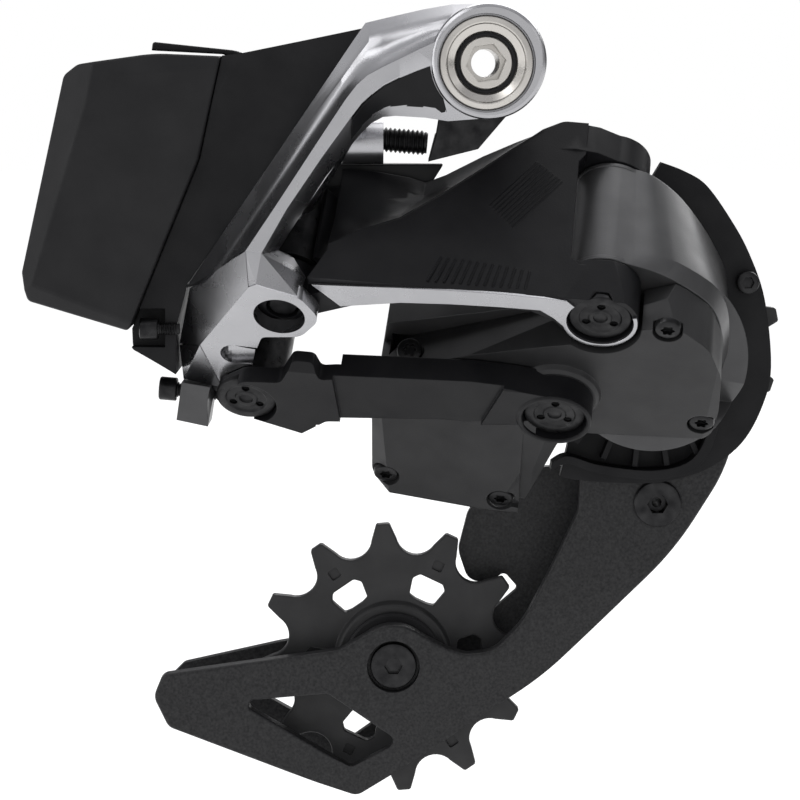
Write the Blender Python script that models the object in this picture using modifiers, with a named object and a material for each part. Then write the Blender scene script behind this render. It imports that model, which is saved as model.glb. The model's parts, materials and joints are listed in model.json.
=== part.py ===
"""Rear bicycle derailleur: battery-driven, twelve-speed, with a slanted four-pin linkage and a two-pulley cage.

World frame: +X is the bicycle's forward direction, -Y is outboard, +Z is up. The origin is on the axis of the
mounting bolt, on the face of the frame's hanger. Sizes are in millimetres and are turned into metres by MM.
"""

import math

import bmesh
import bpy
from mathutils import Matrix, Vector

MM = 0.001
GAP = 0.3
WELD = 0.00001
ROUND_STEPS = 20
SMALL_STEPS = 10

# Linkage: the four pins are parallel; their heads point down, outboard and a little rearward.
PIN_LEAN = 0.1638
PIN_A = (-30.6, -22.5)
LINK_LENGTH = 55.2
LINK_REST_ANGLE = math.radians(3.84)
SIDE_STEP = (-6.4, -19.2)
PIN_RADIUS = 2.6
PIN_HEAD_RADIUS = 5.4
PIN_HEAD_HEIGHT = 1.2
PIN_HEAD_SINK = 1.1
EYE_RADIUS = 4.5
EYE_SHIFT = (0.0, 1.8)
BARREL_RADIUS = 6.3
EAR_RADIUS = 6.6
A_EAR_RADIUS = 5.5

# Levels along the pins, measured from the origin towards the heads.
TOP_EAR = (3.0, 9.2)
HOUSING = (9.5, 32.0)
LOW_EAR = (32.4, 41.0)
A_TOP_EAR = (15.4, 20.6)
A_BARREL = (20.9, 33.7)
A_LOW_EAR = (34.0, 41.2)
COVER_BOTTOM = 42.0
MOTOR_BAY_TOP = 24.5
GUARD_LUG = (41.6, 44.3)
INNER_LINK = (42.4, 48.2)
INNER_LINK_B_TOP = 44.7
SKIN_TILT = math.radians(5.7)
SKIN_THICKNESS = 2.6

# Cage and pulleys: levels are inboard distances from the hanger face.
CAGE_PIVOT = (31.1, -52.6)
TENSION_CENTRE = (-15.9, -113.6)
SPACER_CENTRE = (33.8, -82.1)
KNUCKLE_INBOARD = 16.9
FLANGE = (17.2, 20.2)
OUTER_PLATE = (20.9, 24.2)
INNER_PLATE = (34.4, 36.4)
PULLEY_MID = 29.3
PULLEY_THICKNESS = 2.2
TEETH = 12
CHAIN_PITCH = 12.7
ROLLER_RADIUS = 3.9
TIP_RADIUS = 26.3
BEARING = (2.9, 8.0, 5.0)
AXLE_RADIUS = 2.55

# Mounting bolt and upper knuckle.
BOSS_RADIUS = 10.0
BOSS_FRONT = 17.0
BOSS_BACK = 2.3
BOLT_HEAD_RADIUS = 7.8
BOLT_SHANK_RADIUS = 4.9
BOLT_BORE_RADIUS = 2.4
BOLT_HEX = 3.0
BOLT_TIP = 9.0

# Battery: width is measured across the bicycle, from outboard to inboard.
BATTERY_OUT = 9.0
BATTERY_IN = -12.0

MANY_CUTS = ("b_knuckle", "outer_link", "p_knuckle_housing", "gearbox_cover", "outer_cage_plate")

parts = bpy.data.collections.new("rear_derailleur")
guides = bpy.data.collections.new("cutters")
materials = {}


def clear_scene():
    for obj in list(bpy.data.objects):
        bpy.data.objects.remove(obj, do_unlink=True)
    bpy.context.scene.collection.children.link(parts)
    bpy.context.scene.collection.children.link(guides)


def material(name, colour, roughness, metallic):
    made = bpy.data.materials.new(name)
    made.use_nodes = True
    shader = made.node_tree.nodes["Principled BSDF"]
    shader.inputs["Base Color"].default_value = (*colour, 1.0)
    shader.inputs["Roughness"].default_value = roughness
    shader.inputs["Metallic"].default_value = metallic
    materials[name] = made


def make_materials():
    material("polished_aluminium", (0.62, 0.62, 0.64), 0.22, 1.0)
    material("machined_steel", (0.50, 0.49, 0.47), 0.30, 1.0)
    material("black_steel", (0.02, 0.02, 0.02), 0.35, 0.6)
    material("satin_black", (0.015, 0.015, 0.016), 0.45, 0.2)
    material("satin_grey", (0.09, 0.09, 0.092), 0.38, 0.6)
    material("cover_grey", (0.035, 0.035, 0.037), 0.42, 0.3)
    material("black_plastic", (0.012, 0.012, 0.013), 0.55, 0.0)
    material("carbon_plate", (0.025, 0.025, 0.026), 0.50, 0.0)
    material("pulley_grey", (0.045, 0.046, 0.048), 0.45, 0.4)
    material("spring_steel", (0.16, 0.16, 0.17), 0.35, 1.0)
    material("bronze", (0.40, 0.26, 0.12), 0.40, 1.0)
    material("board_green", (0.02, 0.09, 0.04), 0.50, 0.0)
    material("clear_lens", (0.45, 0.50, 0.52), 0.12, 0.0)


# ---------------------------------------------------------------- frames

def empty(name, parent=None, location=(0, 0, 0), rotation=None):
    obj = bpy.data.objects.new(name, None)
    obj.empty_display_size = 0.01
    guides.objects.link(obj)
    turn = (rotation or Matrix.Identity(3)).to_4x4()
    obj.parent = parent
    obj.matrix_local = Matrix.Translation(Vector(location) * MM) @ turn
    return obj


def linkage_rotation():
    """Columns are the linkage's own x, y and pin axes; x stays close to the bicycle's forward direction."""
    pin = Vector((-PIN_LEAN, -1.0, -1.0)).normalized()
    along = (Vector((1, 0, 0)) - pin * pin.x).normalized()
    return Matrix((along, pin.cross(along), pin)).transposed()


def side_rotation():
    """Local x stays x, local y is up, and local z points outboard."""
    return Matrix.Rotation(math.pi / 2, 3, "X")


def shifted(point, step):
    return (point[0] + step[0], point[1] + step[1])


def make_frames():
    global WORLD, SIDE, LINK, AT_A, AT_EYE, AT_B, AT_C, AT_D, AT_CAGE, AT_TENSION, AT_SPACER
    global PIN_B, PIN_C, PIN_D
    WORLD = empty("world_frame")
    SIDE = empty("hanger_axis", WORLD, rotation=side_rotation())
    LINK = empty("linkage_frame", WORLD, rotation=linkage_rotation())
    reach = (LINK_LENGTH * math.cos(LINK_REST_ANGLE), LINK_LENGTH * math.sin(LINK_REST_ANGLE))
    PIN_B = shifted(PIN_A, SIDE_STEP)
    PIN_C = shifted(PIN_A, reach)
    PIN_D = shifted(PIN_C, SIDE_STEP)
    AT_A = empty("pin_a_axis", LINK, (*PIN_A, 0))
    AT_EYE = empty("eye_axis", LINK, (*shifted(PIN_A, EYE_SHIFT), 0))
    AT_B = empty("pin_b_axis", LINK, (*PIN_B, 0))
    AT_C = empty("pin_c_axis", LINK, (*PIN_C, 0))
    AT_D = empty("pin_d_axis", LINK, (*PIN_D, 0))
    AT_CAGE = empty("cage_axis", SIDE, (*CAGE_PIVOT, 0))
    AT_TENSION = empty("tension_axis", SIDE, (*TENSION_CENTRE, 0))
    AT_SPACER = empty("spacer_axis", SIDE, (*SPACER_CENTRE, 0))


# ---------------------------------------------------------------- modelling tools

def add(name, mesh, frame, finish, location=(0, 0, 0)):
    """finish is a material name, or None for a cutter or a shape that is fused into another."""
    obj = bpy.data.objects.new(name, mesh)
    obj.parent = frame
    obj.location = Vector(location) * MM
    if finish:
        parts.objects.link(obj)
        mesh.materials.append(materials[finish])
        mesh.shade_smooth()
        mesh.set_sharp_from_angle(angle=math.radians(32))
    else:
        guides.objects.link(obj)
        obj.hide_render = True
        obj.display_type = "WIRE"
    return obj


def arc(centre, radius, start, end, steps):
    """Points on a circle, angles in degrees."""
    span = [math.radians(start + (end - start) * i / steps) for i in range(steps + 1)]
    return [(centre[0] + radius * math.cos(t), centre[1] + radius * math.sin(t)) for t in span]


def circle(radius, centre=(0, 0), steps=ROUND_STEPS):
    return arc(centre, radius, 0, 360, steps)[:-1]


def rounded(corners, steps=3):
    """Turns (x, y, fillet radius) corners into a closed outline; a corner without a radius stays sharp."""
    outline = []
    for i, corner in enumerate(corners):
        here = Vector(corner[:2])
        if len(corner) < 3:
            outline.append(tuple(here))
            continue
        before = (Vector(corners[i - 1][:2]) - here).normalized()
        after = (Vector(corners[(i + 1) % len(corners)][:2]) - here).normalized()
        half = before.angle(after) / 2
        middle = here + (before + after).normalized() * corner[2] / math.sin(half)
        first = here + before * corner[2] / math.tan(half) - middle
        last = here + after * corner[2] / math.tan(half) - middle
        start = math.atan2(first.y, first.x)
        sweep = (math.atan2(last.y, last.x) - start + math.pi) % (2 * math.pi) - math.pi
        outline += [
            (middle.x + corner[2] * math.cos(start + sweep * k / steps),
             middle.y + corner[2] * math.sin(start + sweep * k / steps))
            for k in range(steps + 1)
        ]
    return outline


def extrude(name, loops, low, high, frame, finish=None):
    """A flat outline, with any holes, drawn as a 2D curve and extruded from low to high along local z."""
    curve = bpy.data.curves.new(name, "CURVE")
    curve.dimensions = "2D"
    curve.fill_mode = "BOTH"
    curve.extrude = abs(high - low) / 2 * MM
    for loop in loops:
        spline = curve.splines.new("POLY")
        spline.points.add(len(loop) - 1)
        spline.use_cyclic_u = True
        for point, (x, y) in zip(spline.points, loop):
            point.co = (x * MM, y * MM, 0, 1)
    return from_curve(name, curve, frame, finish, (0, 0, (low + high) / 2))


def from_curve(name, curve, frame, finish, location=(0, 0, 0)):
    source = bpy.data.objects.new(name + "_curve", curve)
    guides.objects.link(source)
    bpy.context.view_layer.update()
    evaluated = source.evaluated_get(bpy.context.evaluated_depsgraph_get())
    mesh = bpy.data.meshes.new_from_object(evaluated)
    mesh.materials.clear()
    work = bmesh.new()
    work.from_mesh(mesh)
    bmesh.ops.remove_doubles(work, verts=work.verts, dist=WELD)
    bmesh.ops.recalc_face_normals(work, faces=work.faces)
    work.to_mesh(mesh)
    work.free()
    bpy.data.objects.remove(source, do_unlink=True)
    return add(name, mesh, frame, finish, location)


def turned(name, profile, frame, finish=None, steps=ROUND_STEPS, ring=False):
    """profile is (radius, z) from the top down the outer side; a ring's profile closes on itself."""
    mesh = bpy.data.meshes.new(name)
    count = len(profile)
    edges = [(i, i + 1) for i in range(count - 1)] + ([(count - 1, 0)] if ring else [])
    mesh.from_pydata([(r * MM, 0, z * MM) for r, z in profile], edges, [])
    obj = add(name, mesh, frame, finish)
    screw = obj.modifiers.new("turn", "SCREW")
    screw.steps = steps
    screw.render_steps = steps
    screw.use_merge_vertices = True
    screw.merge_threshold = WELD
    screw.use_smooth_shade = True
    return obj


def rod(name, radius, low, high, frame, finish=None, steps=ROUND_STEPS):
    return turned(name, [(0, high), (radius, high), (radius, low), (0, low)], frame, finish, steps)


def tube(name, inner, outer, low, high, frame, finish=None, steps=ROUND_STEPS):
    profile = [(outer, high), (outer, low), (inner, low), (inner, high)]
    return turned(name, profile, frame, finish, steps, ring=True)


def box(name, low, high, frame, finish=None):
    work = bmesh.new()
    bmesh.ops.create_cube(work, size=1.0)
    for vert in work.verts:
        for i in range(3):
            vert.co[i] = (low[i] if vert.co[i] < 0 else high[i]) * MM
    mesh = bpy.data.meshes.new(name)
    work.to_mesh(mesh)
    work.free()
    return add(name, mesh, frame, finish)


def hull(name, points, frame, finish=None):
    work = bmesh.new()
    for point in points:
        work.verts.new(Vector(point) * MM)
    made = bmesh.ops.convex_hull(work, input=work.verts)
    loose = [v for v in made["geom_interior"] if isinstance(v, bmesh.types.BMVert)]
    bmesh.ops.delete(work, geom=loose, context="VERTS")
    bmesh.ops.recalc_face_normals(work, faces=work.faces)
    mesh = bpy.data.meshes.new(name)
    work.to_mesh(mesh)
    work.free()
    return add(name, mesh, frame, finish)


def wire(name, path, radius, frame, finish):
    """A round wire along a list of points, with closed ends."""
    curve = bpy.data.curves.new(name, "CURVE")
    curve.dimensions = "3D"
    curve.bevel_depth = radius * MM
    curve.bevel_resolution = 2
    curve.use_fill_caps = True
    spline = curve.splines.new("POLY")
    spline.points.add(len(path) - 1)
    for point, co in zip(spline.points, path):
        point.co = (*(Vector(co) * MM), 1)
    return from_curve(name, curve, frame, finish)


def combine(obj, tools, operation):
    """The castings in MANY_CUTS have slanted faces that meet at small angles, where EXACT leaves open edges."""
    for tool in tools:
        step = obj.modifiers.new(operation.lower(), "BOOLEAN")
        step.operation = operation
        step.object = tool
        if obj.name in MANY_CUTS:
            step.solver = "MANIFOLD"
    return obj


def cut(obj, *tools):
    return combine(obj, tools, "DIFFERENCE")


def fuse(obj, *tools):
    return combine(obj, tools, "UNION")


def hexagon(name, inradius, low, high, frame):
    return rod(name, inradius / math.cos(math.pi / 6), low, high, frame, steps=6)


# ---------------------------------------------------------------- hanger side

def make_hanger_side():
    bolt = turned(
        "mounting_bolt",
        [(BOLT_BORE_RADIUS, 16.6), (BOLT_HEAD_RADIUS - 0.5, 16.6), (BOLT_HEAD_RADIUS, 16.1),
         (BOLT_HEAD_RADIUS, 14.6), (BOLT_SHANK_RADIUS, 14.6), (BOLT_SHANK_RADIUS, -BOLT_TIP + 0.8),
         (BOLT_SHANK_RADIUS - 0.8, -BOLT_TIP), (BOLT_BORE_RADIUS, -BOLT_TIP)],
        SIDE, "machined_steel", ring=True)
    cut(bolt, hexagon("bolt_socket", BOLT_HEX, 10.5, 17.5, SIDE))

    ring = arc((0, 0), 10.2, -14, 223, 20)
    tab = [(-8.4, -12.6), (-9.9, -17.6), (-0.6, -15.2)]
    washer = extrude("stop_washer", [ring + tab, circle(BOLT_SHANK_RADIUS + GAP)], 0.1, 2.0, SIDE, "black_steel")
    lip = [(-8.4, -12.2), (-9.7, -17.2), (-6.9, -16.4), (-5.6, -11.4)]
    fuse(washer, extrude("stop_washer_lip", [lip], -5.5, 1.5, SIDE))


# ---------------------------------------------------------------- upper knuckle

ARM = [(-19.6, 6.4), (-51.0, -38.1, 1.0), (-53.0, -48.0), (-47.5, -50.0), (-38.0, -42.0), (-30.5, -36.0),
       (-34.6, -33.0, 3.0), (-35.1, -30.4), (-26.1, -17.7, 2.0), (-21.5, -10.6, 4.0), (-16.7, -8.9, 2.0),
       (-5.2, -9.9), (2.0, -9.0), (0.0, 4.0), (-0.2, 9.8), (-4.4, 9.7)]


def make_upper_knuckle():
    knuckle = extrude("b_knuckle", [rounded(ARM)], 4.5, 15.5, SIDE, "polished_aluminium")
    boss = rod("knuckle_boss", BOSS_RADIUS, BOSS_BACK, BOSS_FRONT, SIDE)
    front = hull("knuckle_front", [
        (-41.0, -17.5, -31.8), (-40.6, -18.8, -37.9), (-49.9, -6.0, -49.2), (-51.4, -4.0, -38.5),
        (-53.6, 0.5, -49.8), (-53.2, 3.5, -56.0), (-46.6, 1.9, -57.4), (-44.5, 5.0, -44.0),
        (-44.0, 6.0, -55.0), (-41.0, -6.0, -46.0), (-39.5, -6.0, -34.0)], WORLD)
    guard = extrude("knuckle_guard", [rounded([
        (-45.0, -30.6), (-35.7, -13.5), (-34.3, -12.5), (-26.8, -15.7, 2.0), (-23.6, -20.5, 3.0),
        (-27.0, -25.6, 3.0), (-33.9, -27.0, 1.0), (-36.3, -34.1, 1.0), (-41.8, -42.2)])], *GUARD_LUG, LINK)
    roof = hull("knuckle_roof", [
        (-35.7, -13.5, 44.3), (-34.3, -12.5, 44.3), (-26.8, -15.7, 44.3), (-35.2, -10.9, 39.2),
        (-28.0, -12.8, 40.3), (-34.6, -16.2, 44.3), (-26.8, -16.6, 44.3), (-36.4, -15.0, 38.0),
        (-28.0, -15.6, 39.4), (-38.0, -16.5, 41.5)], LINK)
    barrel = rod("knuckle_barrel_a", BARREL_RADIUS, *A_BARREL, AT_A)
    boss_b = rod("knuckle_barrel_b", EAR_RADIUS, 30.0, GUARD_LUG[1], AT_B)
    web = hull("knuckle_web", [
        (-20.5, -5.0, -9.8), (-20.5, 3.5, -9.8), (-31.5, -5.0, -25.5), (-42.0, -4.8, -26.0),
        (-42.0, 7.5, -40.0), (-32.0, -4.8, -9.5), (-36.0, 9.0, -33.0), (-38.6, 2.0, -40.5),
        (-36.6, 8.5, -29.5), (-33.0, 3.0, -24.0), (-27.0, 5.5, -18.0)], WORLD)
    spine = hull("knuckle_spine", [
        (-36.0, 9.0, -33.0), (-42.0, 7.5, -40.0), (-44.0, 12.0, -46.0), (-40.0, 11.0, -50.0),
        (-39.0, 2.0, -41.5), (-45.0, 2.0, -41.5), (-45.0, 4.0, -52.0), (-40.0, 6.0, -54.0)], WORLD)
    screw_lug = box("knuckle_screw_lug", (-27.0, -0.8, -18.4), (-17.6, 6.2, -10.0), WORLD)
    limit_lug = box("knuckle_limit_lug", (-53.2, 0.5, -64.4), (-48.4, 8.5, -53.0), WORLD)
    fuse(knuckle, boss, front, guard, roof, barrel, boss_b, web, spine, screw_lug, limit_lug)
    cut(knuckle,
        rod("knuckle_bore", 6.2, 0.0, 20.0, SIDE),
        rod("knuckle_counterbore", BOLT_HEAD_RADIUS + GAP, 14.2, 20.0, SIDE),
        rod("knuckle_bore_a", PIN_RADIUS + 0.6, 10.0, 60.0, AT_A),
        rod("knuckle_eye", EYE_RADIUS, GUARD_LUG[0] - 0.4, 60.0, AT_EYE),
        rod("knuckle_low_ear_room", A_EAR_RADIUS + GAP, A_LOW_EAR[0] - GAP, GUARD_LUG[0], AT_A),
        rod("knuckle_top_ear_room", BARREL_RADIUS + GAP, 0.0, A_BARREL[0], AT_A),
        rod("knuckle_bore_b", PIN_RADIUS + GAP, 26.0, 60.0, AT_B),
        rod("screw_hole", 2.5, -30.0, -2.0, B_SCREW_FRAME),
        rod("limit_hole_low", 1.65, -14.0, 20.0, LOW_SCREW_FRAME))
    tube("mounting_bushing", BOLT_SHANK_RADIUS + 0.25, 6.0, 2.5, 14.0, SIDE, "bronze")
    link_pin("link_pin_a", AT_A, A_TOP_EAR[0] + 0.4, A_LOW_EAR[1] - 0.6, None)
    link_pin("link_pin_b", AT_B, 30.5, INNER_LINK[1] - PIN_HEAD_SINK, PIN_HEAD_RADIUS)


def link_pin(name, frame, low, high, head):
    """A pin whose top is at its high level; a head radius of None makes a plain pin without a recess."""
    seat = high - PIN_HEAD_HEIGHT
    head_part = [(head, high), (head, seat), (PIN_RADIUS, seat)] if head else [(PIN_RADIUS, high)]
    profile = [(0, high)] + head_part + [(PIN_RADIUS, low), (0, low)]
    pin = turned(name, profile, frame, "black_steel", SMALL_STEPS if not head else ROUND_STEPS)
    if head:
        cut(pin, rod(name + "_dimple", 1.3, high - 0.6, high + 1, frame, steps=SMALL_STEPS))
    return pin


# ---------------------------------------------------------------- battery, mount and electronics

BATTERY = [(-70.8, -0.2, 3.0), (-57.2, 1.7, 30.0), (-45.9, 1.3, 0.6), (-50.0, -16.7, 12.0), (-62.6, -46.7, 0.8),
           (-80.1, -41.4, 1.2), (-81.1, -36.4, 1.5), (-73.5, -2.1, 2.0)]
MOUNT = [(-45.3, 1.4), (-42.5, 1.6, 8.0), (-20.4, 6.2), (-51.9, -38.4), (-54.0, -46.0), (-54.1, -54.4),
         (-62.2, -50.0, 1.2), (-62.2, -46.6), (-49.5, -16.6, 12.0)]


def make_battery():
    extrude("battery_pack", [rounded(BATTERY)], BATTERY_IN, BATTERY_OUT, SIDE, "satin_black")
    mount = extrude("battery_mount", [rounded(MOUNT)], BATTERY_IN - 1.0, BATTERY_OUT - 1.0, SIDE, "black_plastic")
    cut(mount,
        box("latch_room", (-48.0, -4.5, -1.6), (-39.6, 6.5, 8.0), WORLD),
        box("board_room", (-60.0, -4.0, -26.0), (-47.0, 8.0, -14.0), WORLD),
        box("limit_screw_room", (-63.0, -12.0, -49.6), (-56.0, -3.0, -42.8), WORLD),
        rod("limit_hole_high", 1.4, -12.0, 10.0, HIGH_SCREW_FRAME),
        rod("button_room", 3.4, -16.0, -9.8, BUTTON_FRAME),
        rod("lens_room", 1.5, -16.0, -11.5, LENS_FRAME),
        rod("latch_pin_hole", 1.1, -8.5, 6.5, LATCH_FRAME),
        *knuckle_rooms())
    box("circuit_board", (-49.2, -3.2, -24.6), (-48.0, 7.2, -16.8), WORLD, "board_green")
    turned("function_button", [(0, -10.3), (3.0, -10.3), (3.0, -13.2), (2.6, -13.6), (0, -13.6)],
           BUTTON_FRAME, "black_plastic", SMALL_STEPS)
    rod("status_lens", 1.2, -13.0, -11.8, LENS_FRAME, "clear_lens", SMALL_STEPS)
    latch = turned("battery_latch", [(0, 3.4), (1.5, 3.4), (1.5, -5.4), (0, -5.4)], LATCH_FRAME, "black_plastic",
                   SMALL_STEPS)
    fuse(latch, extrude("latch_lever", [rounded([(-15.6, 1.9), (-15.4, 3.4, 0.5), (-1.0, 1.9, 6.0), (0.4, 1.2),
                                                 (0.4, -0.3), (-1.0, 0.3), (-3.2, 1.25)])], -5.4, 3.4, LATCH_FRAME))
    cut(latch, rod("latch_bore", 1.0, -9.0, 9.0, LATCH_FRAME, steps=SMALL_STEPS))
    rod("latch_pin", 0.75, -8.0, 6.0, LATCH_FRAME, "machined_steel", SMALL_STEPS)


def knuckle_rooms():
    """Space in the mount for the parts of the upper knuckle that reach behind it."""
    return [box("web_room", (-44.6, -5.5, -45.0), (-15.0, 14.5, -8.0), WORLD),
            hull("front_room", [(-41.0, -18.0, -31.0), (-51.9, -9.0, -38.2), (-51.9, 14.0, -38.2),
                                (-53.9, -9.0, -46.0), (-53.9, 14.0, -46.0), (-53.9, -9.0, -60.0),
                                (-53.9, 14.0, -60.0), (-40.0, 14.0, -60.0), (-40.0, 14.0, -31.0)], WORLD)]


# ---------------------------------------------------------------- adjusting screws

def cap_screw(name, frame, head_radius, head, radius, tip, socket, finish="black_steel"):
    """The head sits on local z from 0 to head and the thread runs down to -tip."""
    screw = turned(name, [(0, head), (head_radius - 0.3, head), (head_radius, head - 0.3), (head_radius, 0),
                          (radius, 0), (radius, 0.5 - tip), (radius - 0.5, -tip), (0, -tip)],
                   frame, finish, SMALL_STEPS)
    return cut(screw, hexagon(name + "_socket", socket, head * 0.45, head + 1.0, frame))


def make_adjusting_screws():
    cap_screw("b_adjust_screw", B_SCREW_FRAME, 3.2, 2.6, 2.2, 26.3, 1.5)
    cap_screw("limit_screw_high", HIGH_SCREW_FRAME, 1.9, 3.2, 1.15, 3.8, 1.0)
    cap_screw("limit_screw_low", LOW_SCREW_FRAME, 2.1, 3.2, 1.35, 8.6, 1.0)


def make_small_frames():
    global B_SCREW_FRAME, HIGH_SCREW_FRAME, LOW_SCREW_FRAME, BUTTON_FRAME, LENS_FRAME, LATCH_FRAME
    rearward = Matrix.Rotation(-math.pi / 2, 3, "Y")
    dip = Matrix.Rotation(math.radians(5), 3, "Y")
    B_SCREW_FRAME = empty("b_screw_axis", WORLD, (-36.0, 2.6, -11.8), dip @ rearward)
    HIGH_SCREW_FRAME = empty("high_screw_axis", WORLD, (-57.2, -6.2, -46.3), rearward)
    LOW_SCREW_FRAME = empty("low_screw_axis", WORLD, (-54.9, 4.5, -58.4), dip @ rearward)
    BUTTON_FRAME = empty("button_axis", SIDE, (-36.5, -12.0, 0))
    LENS_FRAME = empty("lens_axis", SIDE, (-30.5, -4.5, 0))
    LATCH_FRAME = empty("latch_axis", SIDE, (-42.4, 0.3, 0))


# ---------------------------------------------------------------- links

def make_outer_link():
    """A skin along the outboard side, a flank folded inboard from its top edge, and ears round pins A and C."""
    c_ear = arc(PIN_C, EAR_RADIUS, -120, 100, 18)
    a_ear = arc(PIN_A, A_EAR_RADIUS, 40, 345, 16)
    low = a_ear + [(-18.5, -20.6), (-10.0, -18.6), (3.8, -17.6), (12.5, -17.8), (16.6, -19.8), (19.4, -23.0)]
    low += c_ear + [(17.4, -13.6), (-10.0, -13.8), (-21.6, -16.0)]
    link = extrude("outer_link", [low], *LOW_EAR, LINK, "satin_black")
    a_low = extrude("outer_link_a_low", [a_ear + [(-19.0, -20.6), (-19.0, -15.6), (-21.6, -16.0)]], *A_LOW_EAR, LINK)
    top = arc(PIN_C, EAR_RADIUS, -150, 95, 18) + [(17.5, -10.2), (11.0, -10.4), (11.0, -14.0), (17.0, -17.5)]
    top_ear = extrude("outer_link_c_top", [top], *TOP_EAR, LINK)
    skin_frame = empty("skin_frame", LINK, (0, -13.6, 41.0), Matrix.Rotation(math.radians(90) + SKIN_TILT, 3, "X"))
    skin_shape = rounded([(-21.6, 0.0), (-21.6, -6.5), (-17.8, -10.6), (-11.8, -14.6), (-4.5, -21.4), (2.4, -27.9),
                          (12.0, -37.4, 3.0), (19.6, -38.3), (19.6, -31.5, 1.0), (19.6, -10.0, 1.5),
                          (22.0, -8.8), (22.0, 0.0)])
    skin = extrude("outer_link_skin", [skin_shape], 0.0, SKIN_THICKNESS, skin_frame)
    flank = hull("outer_link_flank", [
        (-20.0, -14.6, 33.6), (-21.4, -15.4, 37.0), (10.5, -10.5, 5.0), (13.5, -12.8, 5.0), (13.5, -12.8, 9.0),
        (-26.0, -22.0, 28.0), (-17.6, -22.0, 24.0), (6.0, -20.0, 4.0), (9.0, -20.0, 5.0), (-18.0, -16.0, 35.5),
        (-8.7, -19.3, 13.0)], LINK)
    flank_left = hull("outer_link_flank_left", [
        (-20.0, -14.6, 33.6), (-21.4, -15.4, 37.0), (-26.0, -22.0, 28.0), (-22.0, -16.6, 14.2),
        (-21.0, -20.4, 14.8), (-8.7, -19.3, 13.0), (-8.7, -21.0, 15.0), (-8.7, -13.0, 24.2), (-8.7, -15.0, 26.0)],
        LINK)
    a_top = extrude("outer_link_a_top", [arc(PIN_A, A_EAR_RADIUS, 40, 300, 18) + [(-17.0, -22.0), (-17.0, -17.0)]],
                    *A_TOP_EAR, LINK)
    tie = hull("outer_link_tie", [
        (-20.5, -22.0, 20.6), (-20.5, -17.0, 20.6), (-20.5, -22.0, 15.4), (-20.5, -17.0, 15.4),
        (-8.0, -19.5, 17.0), (-8.0, -15.0, 17.0), (-8.0, -19.5, 22.0), (-8.0, -15.0, 22.0)], LINK)
    fuse(link, a_low, top_ear, skin, flank, flank_left, a_top, tie)
    cut(link,
        rod("outer_link_barrel_room", BARREL_RADIUS + GAP, TOP_EAR[1], LOW_EAR[0], AT_C),
        rod("outer_link_a_room", BARREL_RADIUS + 0.5, A_TOP_EAR[1], A_LOW_EAR[0], AT_A),
        rod("outer_link_hole_a", PIN_RADIUS + GAP, 0.0, 60.0, AT_A),
        rod("outer_link_hole_c", PIN_RADIUS + GAP, -5.0, 60.0, AT_C),
        rod("outer_link_counterbore", PIN_HEAD_RADIUS + GAP, 38.9, 60.0, AT_C))
    link_pin("link_pin_c", AT_C, TOP_EAR[0] + 0.6, 40.2, PIN_HEAD_RADIUS)


def make_inner_link():
    shape = [(-43.0, -40.0, 3.0), (-39.5, -46.0, 3.0), (-28.2, -50.0, 2.5), (-22.5, -44.6, 2.0),
             (-2.0, -42.0), (12.0, -41.6), (13.5, -43.4)]
    shape += arc(PIN_D, EAR_RADIUS, -125, 105, 14)
    shape += [(3.0, -30.4), (-20.8, -32.2), (-23.4, -32.8, 1.0), (-24.6, -29.4, 1.2), (-28.2, -29.4, 1.2),
              (-30.4, -34.6, 1.5), (-37.0, -35.2, 3.0)]
    link = extrude("inner_link", [rounded(shape)], *INNER_LINK, LINK, "satin_black")
    cut(link,
        box("inner_link_b_step", (-60.0, -60.0, 40.0), (-20.0, -20.0, INNER_LINK_B_TOP), LINK),
        rod("inner_link_hole_b", PIN_RADIUS + GAP, 40.0, 60.0, AT_B),
        rod("inner_link_hole_d", PIN_RADIUS + GAP, 40.0, 60.0, AT_D),
        rod("inner_link_seat_b", PIN_HEAD_RADIUS + GAP, 45.9, 60.0, AT_B),
        rod("inner_link_seat_d", PIN_HEAD_RADIUS + GAP, 45.9, 60.0, AT_D))


# ---------------------------------------------------------------- lower knuckle

COVER = [(33.2, -14.6), (41.5, -18.8, 6.0), (46.6, -23.0, 5.0), (48.2, -34.0, 20.0), (46.8, -47.6, 2.5),
         (20.7, -48.6), (11.5, -75.0), (-15.5, -72.0), (-15.2, -52.0), (-13.4, -34.8, 1.5), (16.5, -25.2)]
BAY = [(-13.4, -35.2), (16.5, -25.6), (19.0, -40.0), (19.0, -75.0), (-15.5, -75.0), (-15.2, -52.0)]


def inboard_trim(level):
    """Everything inboard of the given level."""
    return box("inboard_trim_%d" % round(level * 10), (-80, level, -140), (120, 80, 60), WORLD)


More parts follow.
